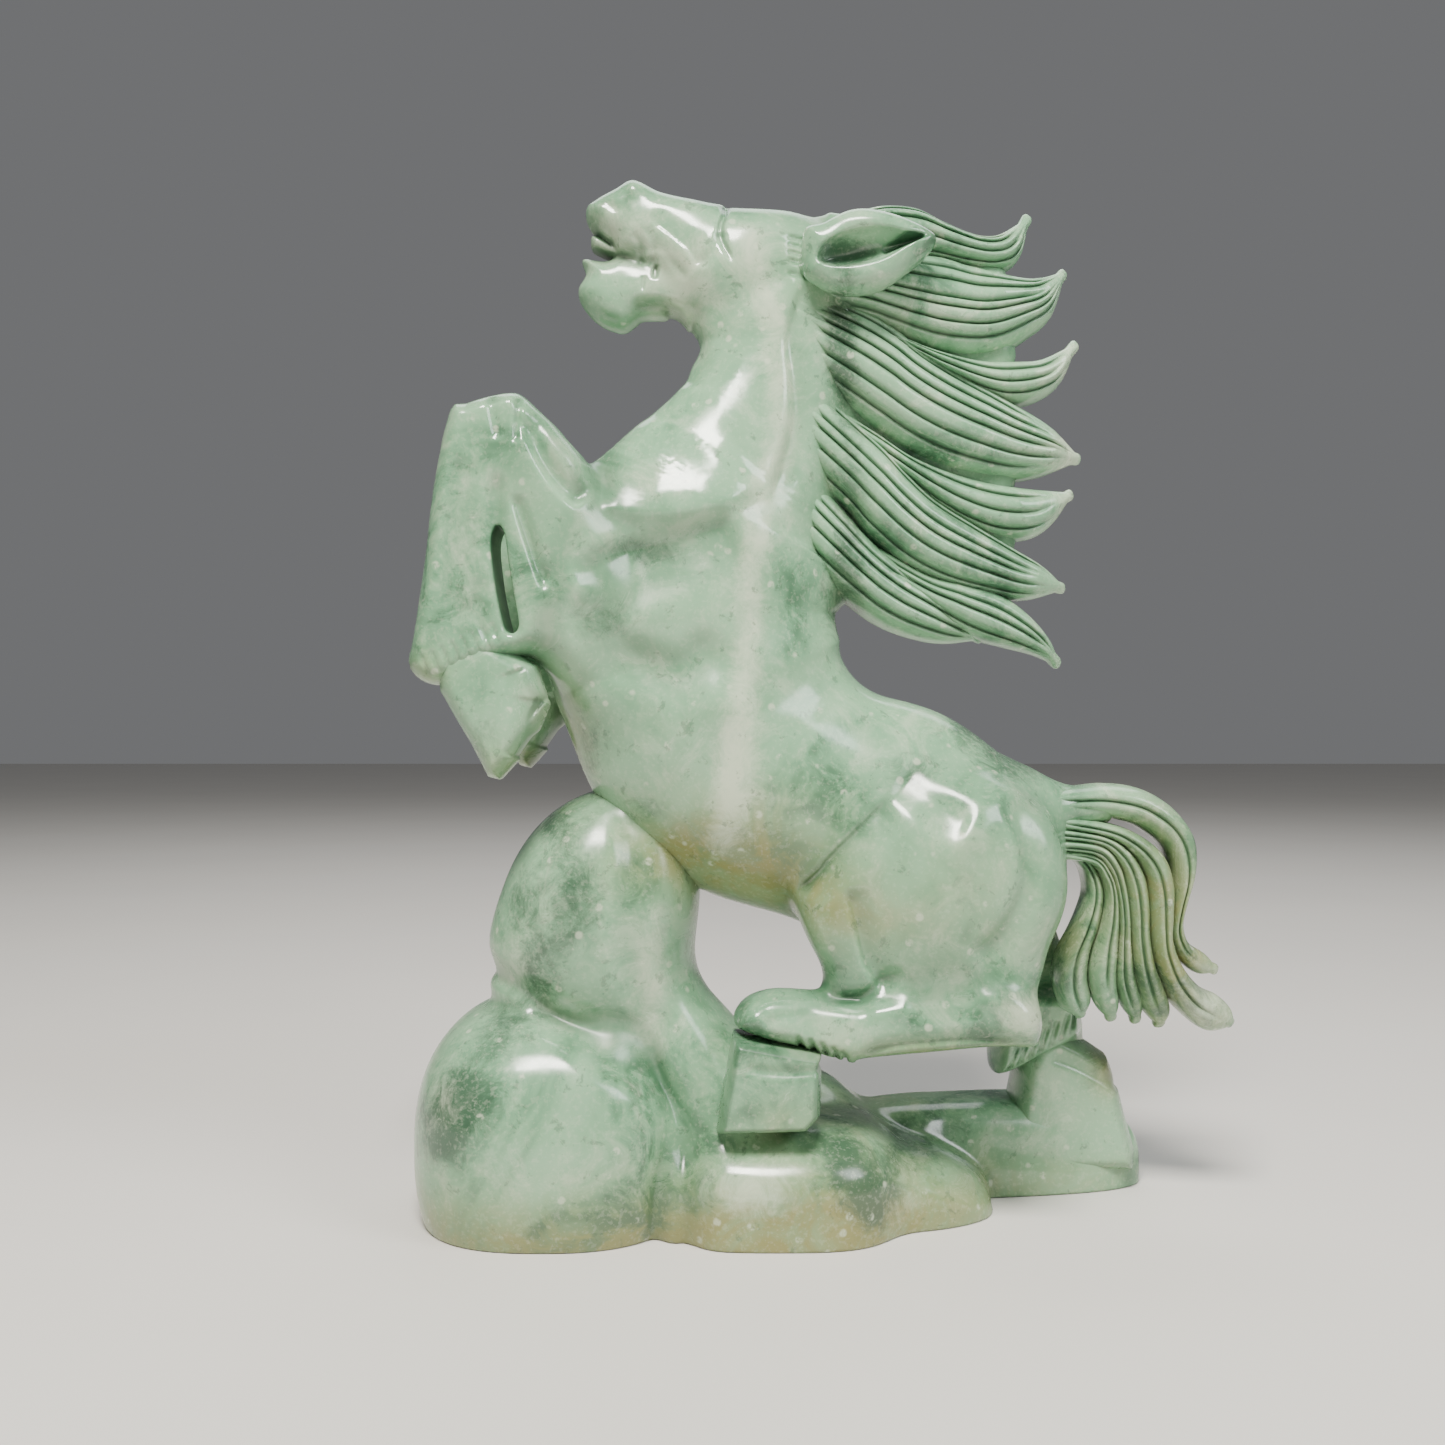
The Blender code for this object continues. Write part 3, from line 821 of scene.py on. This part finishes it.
def strand(name, upper, lower, tip, depths, ribs, seed, middle=0.0, groove=1.5):
    """A lock of hair between two edges that meet at its tip, ribbed along its length.

    depths are (share of the length, half depth) pairs. Each groove between two ribs starts
    and ends at its own place, and middle is the y of the lock's middle plane.
    """
    rng = np.random.default_rng(seed)
    count, per_rib = ((150, 12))
    t = np.linspace(0, 1, count)
    spots, ids = rib_layout(rng, ribs, per_rib)
    live, swell, off_groove = rib_grooves(rng, t, ids, ribs)
    centre, upward, half, width = rounded_tip(
        resample([*upper, tip], count), resample([*lower, tip], count), t,
        np.interp(t, *zip(*depths)),
    )
    rib_width = width[:, None] / ribs
    fine = np.clip(rib_width / 1.6, 0, 1) * np.clip(half[:, None] / 4, 0, 1)
    notch = np.exp(-((off_groove * rib_width / 0.5) ** 2))
    across = 1 - 2 * spots
    full = half[:, None] * np.maximum(1 - np.abs(across) ** SQUARENESS, 0) ** (1 / SQUARENESS)
    # A groove takes at most three quarters of the depth.
    cut = groove * live * fine * (0.45 * swell + 0.55 * notch)
    out = np.maximum(full - cut, full * 0.25)
    x, z = np.moveaxis(centre[:, None] + upward[:, None] * across[:, None], 2, 0)
    near = np.stack([x, middle - out, z], axis=-1)
    back = np.stack([x, middle + out, z], axis=-1)[:, -2:0:-1]
    rings = np.concatenate([near, back], axis=1)
    piece = mesh_piece(name, *skin(rings, (tip[0], middle, tip[1])))
    # Painted shade: the grooves between the ribs are darkened through the cavity mark.
    dark = live * fine * (0.15 * swell + 0.85 * notch)
    dark = np.concatenate([dark, dark[:, -2:0:-1]], axis=1)
    mark(piece, "cavity", np.append(dark[:-1], 0))
    return piece


# Locks of the mane from the brow down, by the node that each replaces.
MANE = {
    "mane_forelock": dict(
        upper=[(-4, 251), (6, 255.5), (14, 257.5), (22, 257), (29, 253.6), (37, 250.6),
               (43, 250.4), (48, 253)],
        lower=[(-4, 243), (11, 243.5), (27, 243), (37, 241.5), (45, 241.8), (50, 245.5)],
        tip=(52.5, 256.5), ribs=5, depths=[(0, 10), (0.3, 12), (0.6, 10), (0.85, 6.5), (1, 1.2)],
    ),
    "mane_crest_lock": dict(
        upper=[(-8, 247), (10, 246), (27, 245), (36, 242.5), (48, 239.8), (54.5, 239.6)],
        lower=[(-8, 230), (8, 227), (16, 224), (23, 221), (30, 219), (38, 218.6), (45, 220.2),
               (52, 224.5), (58, 230)],
        tip=(62, 242), ribs=7, depths=[(0, 13), (0.4, 14), (0.7, 11.5), (0.88, 7), (1, 1.2)],
    ),
    "mane_crest_wisp": dict(
        upper=[(4, 229), (16, 224.5), (26, 220.5), (38, 218), (47, 217.8), (55, 218.6)],
        lower=[(4, 222), (20, 218.5), (31, 212.5), (41, 208.2), (48, 207), (55, 208.5),
               (60.5, 213)],
        tip=(65, 223.5), ribs=4, depths=[(0, 10), (0.4, 12), (0.75, 9.5), (0.9, 5.5), (1, 1.2)],
    ),
    "mane_upper_lock": dict(
        upper=[(-9, 238), (8, 231.5), (16, 227), (23, 221.5), (30, 217), (38, 212.5),
               (47, 207.5), (57, 201.5)],
        lower=[(-9, 216), (4, 205.5), (12, 199.5), (19, 195), (27, 191.2), (36, 188.6),
               (46, 187.4), (55, 188.6)],
        tip=(66, 193), ribs=7, depths=[(0, 14), (0.35, 15.5), (0.65, 13), (0.88, 8), (1, 1.2)],
    ),
    "mane_middle_wisp": dict(
        upper=[(2, 206), (12, 199.5), (20, 194), (28, 190.5), (36, 188), (46, 186), (56, 185)],
        lower=[(2, 198), (12, 191.5), (20, 186), (28, 179.8), (36, 175), (44, 172.2),
               (52, 172.4), (58, 176)],
        tip=(64, 184.5), ribs=4, depths=[(0, 10), (0.4, 12), (0.75, 10), (0.9, 5.5), (1, 1.2)],
    ),
    "mane_middle_lock": dict(
        upper=[(-9, 217), (5, 204), (13, 197), (20, 189.5), (27, 183), (37, 176.5), (47, 170.5),
               (56, 165)],
        lower=[(-9, 191), (4, 179), (10, 172), (19, 164.8), (29, 160), (40, 157.6),
               (51, 156.6)],
        tip=(62, 159.5), ribs=6, depths=[(0, 14), (0.35, 16), (0.65, 13), (0.88, 8), (1, 1.2)],
    ),
    "mane_lower_lock": dict(
        upper=[(-9, 194), (3, 181), (10, 173), (19, 165.5), (27, 160), (34, 154)],
        lower=[(-9, 168), (1, 159), (6, 155), (13, 150.2), (21, 147), (30, 145.4)],
        tip=(40.5, 146.5), ribs=5, depths=[(0, 13), (0.4, 14.5), (0.75, 10), (0.9, 6), (1, 1.2)],
    ),
    "mane_lower_wisp": dict(
        upper=[(12, 171), (25, 163.5), (35, 161), (44, 158.4), (51, 153.5), (57, 147)],
        lower=[(12, 162), (22, 156), (31, 150), (38, 146.5), (46, 144.4), (53, 142.6)],
        tip=(60.5, 139.5), ribs=4, depths=[(0, 10), (0.4, 11.5), (0.75, 8.5), (0.9, 5), (1, 1.2)],
    ),
}
# Strands of the tail from the outermost in, by the node that each replaces.
TAIL = {
    "tail_outer_strand": dict(
        upper=[(54, 108), (64, 108.6), (72, 109.3), (80, 108.2), (87, 104.6), (92.2, 99.3),
               (94.6, 94), (94.6, 87.4), (92.8, 80.7), (91.4, 74.1), (93, 68.6), (98, 65)],
        lower=[(54, 101), (66, 101.4), (77, 99.3), (82.3, 96.6), (86.6, 92.7), (88.4, 87.4),
               (88.6, 80.7), (87.4, 74.1), (87.8, 68.2), (91.2, 63.3), (96, 60)],
        tip=(101.6, 60.6), ribs=2, depths=[(0, 9.5), (0.4, 9.5), (0.7, 8), (0.88, 5.5), (1, 1.6)],
    ),
    "tail_main_strand": dict(
        upper=[(56, 102), (71.7, 99.4), (79.7, 96.4), (85.8, 91.4), (88.4, 84.7), (88.4, 77.4),
               (88, 70.8), (90.6, 63.5), (95.8, 57.2), (101, 54.5), (104.4, 51)],
        lower=[(56, 98), (70, 95.6), (76.4, 91.6), (80.2, 86), (81.4, 79.4), (81.8, 71.5),
               (83.2, 64.2), (86.6, 56), (91.4, 50), (98, 45.4)],
        tip=(105.4, 46.6), ribs=2, depths=[(0, 9), (0.3, 12), (0.7, 10.5), (0.88, 7), (1, 1.8)],
    ),
    "tail_middle_strand": dict(
        upper=[(56, 99), (70.4, 96.4), (77, 92.4), (81, 86.4), (82.4, 79.4), (82.6, 71.5),
               (84, 64), (87, 56.5), (88.6, 50.4)],
        lower=[(56, 95), (68.5, 93.6), (73.4, 89), (75.4, 83.4), (76.6, 75.4), (77.3, 67.5),
               (78.6, 59.5), (81.2, 51.6)],
        tip=(86.2, 45.8), ribs=2, depths=[(0, 9), (0.3, 11), (0.7, 9), (0.88, 6.5), (1, 1.6)],
    ),
    "tail_inner_strand": dict(
        upper=[(56, 96), (69.1, 94.4), (74, 89.7), (76.2, 83.4), (77.4, 75.4), (78, 67.5),
               (79.4, 59.5), (81.6, 52)],
        lower=[(56, 92), (67.2, 91), (71.2, 87.2), (73.2, 81.4), (74.2, 74.1), (74, 66.2),
               (74, 58.9), (76.4, 51.6)],
        tip=(80.3, 46.8), ribs=2, depths=[(0, 8), (0.3, 10), (0.7, 8), (0.88, 5.5), (1, 1.4)],
    ),
    "tail_rump_strand": dict(
        upper=[(56, 93), (67.7, 91.4), (71.9, 87.6), (74.2, 81.4), (75, 74.1), (74.8, 66.2),
               (74.6, 58.9), (75.4, 52)],
        lower=[(56, 90), (67, 88.8), (70.2, 84), (71, 79.4), (69.8, 72.8), (67.6, 65.5),
               (67.4, 58.9), (69.8, 51.6)],
        tip=(74, 47.4), ribs=2, depths=[(0, 6), (0.3, 9), (0.7, 8), (0.88, 5.5), (1, 1.4)],
    ),
    # This one has no node of its own. It fills the space beside the rump.
    None: dict(
        upper=[(56, 94), (64, 92.4), (68.4, 88.8), (71, 84), (71.6, 79.4), (70.4, 72.8),
               (68, 65.5), (67.6, 58.9), (68.6, 53)],
        lower=[(56, 90), (62, 90), (65.6, 87.6), (67, 83.4), (66.8, 79), (63.6, 71.5),
               (59.8, 64.2), (58.8, 57.6), (61, 51)],
        tip=(66.5, 48), ribs=2, depths=[(0, 5), (0.3, 7), (0.7, 8), (0.88, 5.5), (1, 1.4)],
        middle=1.5,
    ),
}


# ---- the colours of the stone

WHITE_VEIN = [
    (-20, 246), (-16, 232), (-13, 211), (-13, 196), (-18, 179), (-20, 161), (-21, 143), (-24, 118),
    (-27, 97),
]
VEIN_WIDTH = 5.0
VEIN_STRENGTH = 0.7
# Clouds in the stone: x, z, reach along x, reach along z, strength
PALE_CLOUDS = [
    (-44, 184, 14, 8, 0.5), (-36, 234, 10, 12, 0.7), (-48, 246, 18, 14, 0.45),
    (-45, 60, 6, 24, 0.7), (-58, 250, 8, 8, 0.4), (-20, 15, 13, 7, 0.75), (24, 70, 14, 14, 0.3),
    (46, 56, 9, 6, 0.9), (-88, 160, 8, 24, 0.35), (62, 190, 6, 60, 0.7), (-70, 20, 14, 16, 0.3),
    (98, 55, 12, 12, 0.7), (-92, 36, 7, 9, 0.4), (-20, 110, 9, 14, 0.3), (-78, 66, 6, 10, 0.5),
    (18, 8, 5, 8, 0.4),
]
# Dark clouds in the stone, and painted shade: the cloud in the ear cup and the two on the chest
# folds darken those recesses.
DARK_CLOUDS_AND_SHADE = [
    (-95, 27, 8, 10, 1.0), (-86, 36, 9, 9, 0.9), (4, 240.5, 9, 3.4, 1.0), (-72, 62, 8, 14, 0.7),
    (-62, 84, 9, 16, 0.8), (-76, 82, 6, 8, 0.6), (48, 116, 12, 8, 0.9), (34, 124, 10, 6, 0.7),
    (2, 20, 7, 7, 0.9), (9, 10, 8, 8, 1.0), (-70, 100, 8, 6, 0.6), (-82, 50, 7, 5, 0.6),
    (-42, 120, 8, 6, 0.4), (-46, 104, 6, 5, 0.5), (26, 18, 16, 5, 0.7), (-54, 149, 14, 7, 0.6),
    (-46, 167, 14, 4.5, 0.75), (5, 180, 6, 44, 0.7), (2, 222, 5, 16, 0.7),
    (-2, 158, 12, 12, 0.35), (38, 222, 14, 50, 0.25), (20, 112, 9, 6, 0.6),
    (30, 84, 12, 12, 0.35), (-86, 122, 9, 10, 0.45), (-24, 125, 6, 10, 0.3),
    (-60, 120, 7, 16, 0.5), (72, 32, 8, 8, 0.5), (60, 62, 6, 10, 0.5), (-12, 98, 10, 5, 0.5),
    (-30, 14, 3, 16, 0.4),
]
WARM_CLOUDS = [
    (-34, 92, 18, 9, 1.0), (-12, 86, 16, 9, 0.9), (4, 78, 14, 6, 0.6), (-20, 101, 20, 9, 0.4),
    (30, 82, 16, 14, 0.2), (-70, 2, 60, 10, 0.9), (-2, 3, 34, 17, 1.0), (50, 4, 40, 6, 0.4),
    (-66, 120, 6, 14, 0.6), (22, 26, 14, 4, 0.5), (76, 34, 6, 8, 0.8), (-80, 114, 6, 6, 0.6),
    (60, 70, 7, 8, 0.6), (26, 46, 26, 3.5, 0.6), (92, 62, 14, 22, 0.8), (80, 84, 12, 20, 0.6),
    (-10, 30, 12, 6, 0.3), (-98, 137, 6, 5, 0.5),
]


def cloud(x, z, rows):
    """How deep in the clouds each place lies, from 0 to 1."""
    total = np.zeros(len(x))
    for x0, z0, long, tall, strength in rows:
        total += strength * np.exp(-(((x - x0) / long) ** 2) - ((z - z0) / tall) ** 2)
    return np.clip(total, 0, 1)


def stain_and_shade(piece):
    """Marks where the stone is white, dark or brown, from where each vertex lies; the dark mark
    also paints shade into the ear cup and the chest folds.
    """
    x, _, z = read(piece.data.vertices, "co", 3).T / MM
    gap, _, _ = nearest_on(smooth_curve(WHITE_VEIN, 4), x, z)
    vein = VEIN_STRENGTH * np.exp(-((gap / VEIN_WIDTH) ** 2))
    mark(piece, "pale", np.clip(cloud(x, z, PALE_CLOUDS) + vein, 0, 1))
    mark(piece, "dark", cloud(x, z, DARK_CLOUDS_AND_SHADE))
    mark(piece, "warm", cloud(x, z, WARM_CLOUDS))


class Shader:
    """A material's node tree, with short ways to add and join nodes."""

    def __init__(self, name):
        self.material = bpy.data.materials.new(name)
        self.material.use_nodes = True
        self.tree = self.material.node_tree
        self.main = self.tree.nodes["Principled BSDF"]

    def feed(self, node, values):
        """Links or sets each input of the node."""
        for key, value in values.items():
            if isinstance(value, bpy.types.NodeSocket):
                self.tree.links.new(value, node.inputs[key])
            else:
                node.inputs[key].default_value = value

    def node(self, kind, values=None, **settings):
        made = self.tree.nodes.new(kind)
        for key, value in settings.items():
            setattr(made, key, value)
        self.feed(made, values or {})
        return made

    def noise(self, place, scale, detail=4.0, rough=0.55, distortion=0.0):
        made = self.node("ShaderNodeTexNoise", {
            "Vector": place, "Scale": scale, "Detail": detail, "Roughness": rough,
            "Distortion": distortion,
        })
        return made.outputs[0]

    def remap(self, value, low, high, to_low=0.0, to_high=1.0):
        made = self.node("ShaderNodeMapRange", {
            "Value": value, "From Min": low, "From Max": high,
            "To Min": to_low, "To Max": to_high,
        }, interpolation_type="SMOOTHSTEP")
        return made.outputs[0]

    def math(self, how, a, b=0.0):
        made = self.node("ShaderNodeMath", {0: a, 1: b}, operation=how)
        return made.outputs[0]

    def times(self, a, b):
        return self.math("MULTIPLY", a, b)

    def blend(self, share, a, b):
        made = self.node("ShaderNodeMix", {0: share, 6: a, 7: b}, data_type="RGBA")
        return made.outputs[2]

    def attribute(self, name):
        return self.node("ShaderNodeAttribute", attribute_name=name).outputs["Fac"]


GREEN = (0.15, 0.335, 0.185, 1)
LIGHT_GREEN = (0.275, 0.47, 0.29, 1)
WHITISH = (0.60, 0.67, 0.50, 1)
DARK_GREEN = (0.038, 0.088, 0.050, 1)
# The colour of painted shade in recesses and grooves
RECESS_SHADE_GREEN = (0.014, 0.07, 0.027, 1)
OLIVE = (0.25, 0.235, 0.075, 1)


def jade(name, rough=0.13, pale=0.0, groove=0.85):
    """Polished stone. pale adds white cloud, and groove is how strongly the recesses are darkened
    with painted shade.
    """
    s = Shader(name)
    place = s.node("ShaderNodeTexCoord").outputs["Object"]
    broad = s.noise(place, 26, 4, 0.6, 1.0)
    cloudy = s.noise(place, 80, 7, 0.68, 0.8)
    fine = s.noise(place, 330, 5, 0.65, 0.3)
    ragged = s.noise(place, 120, 8, 0.78, 0.7)
    cavity = s.attribute("cavity")
    # Two greens with white cloud in them, and olive stain
    colour = s.blend(s.remap(broad, 0.34, 0.68), GREEN, LIGHT_GREEN)
    whitish = s.times(s.remap(cloudy, 0.49, 0.70), 0.34 + pale)
    colour = s.blend(whitish, colour, WHITISH)
    warm = s.times(s.attribute("warm"), s.remap(cloudy, 0.35, 0.60, 0.55, 1.0))
    colour = s.blend(s.times(warm, 0.95), colour, OLIVE)
    # Dark patches with ragged edges, mostly the stone's mottling but with painted shade in the ear
    # cup and chest folds, and fainter dark mottling everywhere
    broken = s.times(s.math("SUBTRACT", ragged, 0.5), 1.7)
    dark = s.remap(s.math("ADD", s.attribute("dark"), broken), 0.3, 0.95)
    colour = s.blend(s.times(dark, 0.85), colour, DARK_GREEN)
    shade = s.times(s.remap(broad, 0.50, 0.34), s.remap(cloudy, 0.56, 0.42))
    colour = s.blend(s.times(shade, 0.7), colour, DARK_GREEN)
    # The white vein and the pale patches
    white = s.remap(s.math("SUBTRACT", s.attribute("pale"), broken), 0.15, 1.0)
    colour = s.blend(s.times(white, 0.8), colour, WHITISH)
    # Pale chips, dark specks and a fine grain
    cells = s.node("ShaderNodeTexVoronoi", {"Vector": place, "Scale": 150.0, "Randomness": 1.0})
    chips = s.remap(cells.outputs["Distance"], 0.19, 0.10)
    chips = s.times(chips, s.remap(fine, 0.42, 0.56))
    colour = s.blend(s.times(chips, 0.6), colour, WHITISH)
    specks = s.remap(s.noise(place, 240, 4, 0.7, 0.4), 0.40, 0.33)
    colour = s.blend(s.times(specks, 0.4), colour, DARK_GREEN)
    grain = s.remap(s.noise(place, 900, 2, 0.6), 0.52, 0.66)
    colour = s.blend(s.times(grain, 0.14), colour, WHITISH)
    # Painted shade: the cavity mark darkens recesses and grooves towards a deep green.
    colour = s.blend(s.times(cavity, groove), colour, RECESS_SHADE_GREEN)
    # The polish, which does not reach into the recesses
    gloss = s.remap(cloudy, 0.3, 0.75, rough - 0.04, rough + 0.1)
    gloss = s.math("ADD", gloss, s.times(cavity, 0.25))
    ripple = s.noise(place, 160, 3)
    bump = s.node("ShaderNodeBump", {"Strength": 0.07, "Distance": 0.0004, "Height": ripple})
    s.feed(s.main, {
        "Base Color": colour, "Roughness": gloss, "Normal": bump.outputs[0], "IOR": 1.62,
        "Subsurface Weight": 0.08, "Subsurface Radius": (0.7, 1.0, 0.75),
        "Subsurface Scale": 0.002,
    })
    return s.material


def dress(piece, material, nodes):
    """Gives the piece its stone and its colour marks, hangs it on the body's empty, and hides the
    CAD nodes it stands for.
    """
    piece.data.materials.append(material)
    stain_and_shade(piece)
    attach(piece, BODY)
    if nodes:
        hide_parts(*nodes)


def mirror_y(piece, name):
    """The same piece on the horse's other side."""
    mesh = piece.data
    points = read(mesh.vertices, "co", 3) * (1, -1, 1)
    normals = read(mesh.vertices, "normal", 3) * (1, -1, 1)
    faces = [tuple(face.vertices)[::-1] for face in mesh.polygons]
    copy = mesh_piece(name, points / MM, faces, normals)
    mark(copy, "cavity", read(mesh.attributes["cavity"].data, "value", 1))
    return copy


def build_stone():
    body_stone = jade("jade_body")
    mane_stone = jade("jade_mane", rough=0.2, pale=0.1, groove=0.72)
    rock_stone = jade("jade_rock", rough=0.17)
    hoof_stone = jade("jade_hoof", rough=0.2)
    horse = carved_piece("horse_body", carve_horse())
    dress(horse, body_stone, [
        "torso", "neck", "head", "lower_jaw", "left_forearm", "right_forearm",
        "left_front_cannon", "right_front_cannon", "left_thigh", "right_thigh",
        "left_hind_cannon", "right_hind_cannon", "tail_root",
    ])
    for part, carve in (("front", carve_front_hooves), ("hind", carve_hind_hooves)):
        nodes = [f"left_{part}_hoof", f"right_{part}_hoof"]
        dress(carved_piece(f"{part}_hooves", carve()), hoof_stone, nodes)
    # The ear's cut relief gets strong painted shade, which darkens its cup.
    near_ear = carved_piece("ear_left", carve_ear(), shade=0.45)
    far_ear = mirror_y(near_ear, "ear_right")
    dress(near_ear, body_stone, ["left_ear"])
    dress(far_ear, body_stone, ["right_ear"])
    dress(carved_piece("rock_base", carve_rock()), rock_stone, [
        "rock_front_boulder", "rock_upper_boulder", "rock_pillar", "rock_front_ledge",
        "rock_rear_ledge", "rock_back_lobe",
    ])
    for n, (node, shape) in enumerate(MANE.items(), start=1):
        lock = strand(f"mane_lock_{n}", seed=n + 2, **shape)
        dress(lock, mane_stone, [node])
    for n, (node, shape) in enumerate(TAIL.items(), start=1):
        lock = strand(f"tail_strand_{n}", seed=n + 39, groove=1.3, **shape)
        dress(lock, mane_stone, [node] if node else [])


# ---- floor, light and camera

def build_floor():
    mesh = bpy.data.meshes.new("floor")
    mesh.from_pydata([(-3, -2, 0), (3, -2, 0), (3, 4, 0), (-3, 4, 0)], [], [(0, 1, 2, 3)])
    floor = bpy.data.objects.new("floor", mesh)
    bpy.context.scene.collection.objects.link(floor)
    s = Shader("pale_floor")
    place = s.node("ShaderNodeTexCoord").outputs["Object"]
    tone = s.blend(s.noise(place, 8, 2), (0.66, 0.64, 0.60, 1), (0.70, 0.68, 0.64, 1))
    s.feed(s.main, {"Base Color": tone, "Roughness": 0.85})
    mesh.materials.append(s.material)


def lamp(name, place, target, size, power, colour):
    data = bpy.data.lights.new(name, "AREA")
    data.shape = "RECTANGLE"
    data.size, data.size_y = size
    data.energy = power
    data.color = colour
    light = bpy.data.objects.new(name, data)
    bpy.context.scene.collection.objects.link(light)
    aim(light, place, target)


def aim(thing, place, target):
    thing.location = place
    way = Vector(target) - Vector(place)
    thing.rotation_euler = way.to_track_quat("-Z", "Y").to_euler()


def build_light():
    chest, middle = (-0.03, 0, 0.14), (0, 0, 0.12)
    lamp("window_left", (-0.12, -0.54, 0.94), chest, (0.38, 0.25), 21, (1.0, 0.955, 0.89))
    lamp("soft_right", (0.85, -0.60, 0.85), middle, (0.5, 0.5), 8, (0.95, 0.98, 1.0))
    lamp("sky_back", (0.1, 0.8, 1.1), middle, (1.2, 0.6), 5.5, (0.96, 0.98, 1.0))
    world = bpy.data.worlds.new("studio")
    world.use_nodes = True
    back = world.node_tree.nodes["Background"]
    back.inputs[0].default_value = (0.68, 0.69, 0.71, 1)
    back.inputs[1].default_value = 0.24
    bpy.context.scene.world = world


def build_camera():
    data = bpy.data.cameras.new("camera")
    data.lens = 36
    data.sensor_width = 36
    camera = bpy.data.objects.new("camera", data)
    bpy.context.scene.collection.objects.link(camera)
    camera.location = (-0.027, -0.375, 0.125)
    camera.rotation_euler = (math.pi / 2, 0, 0)
    bpy.context.scene.camera = camera


build_stone()
build_floor()
build_light()
build_camera()
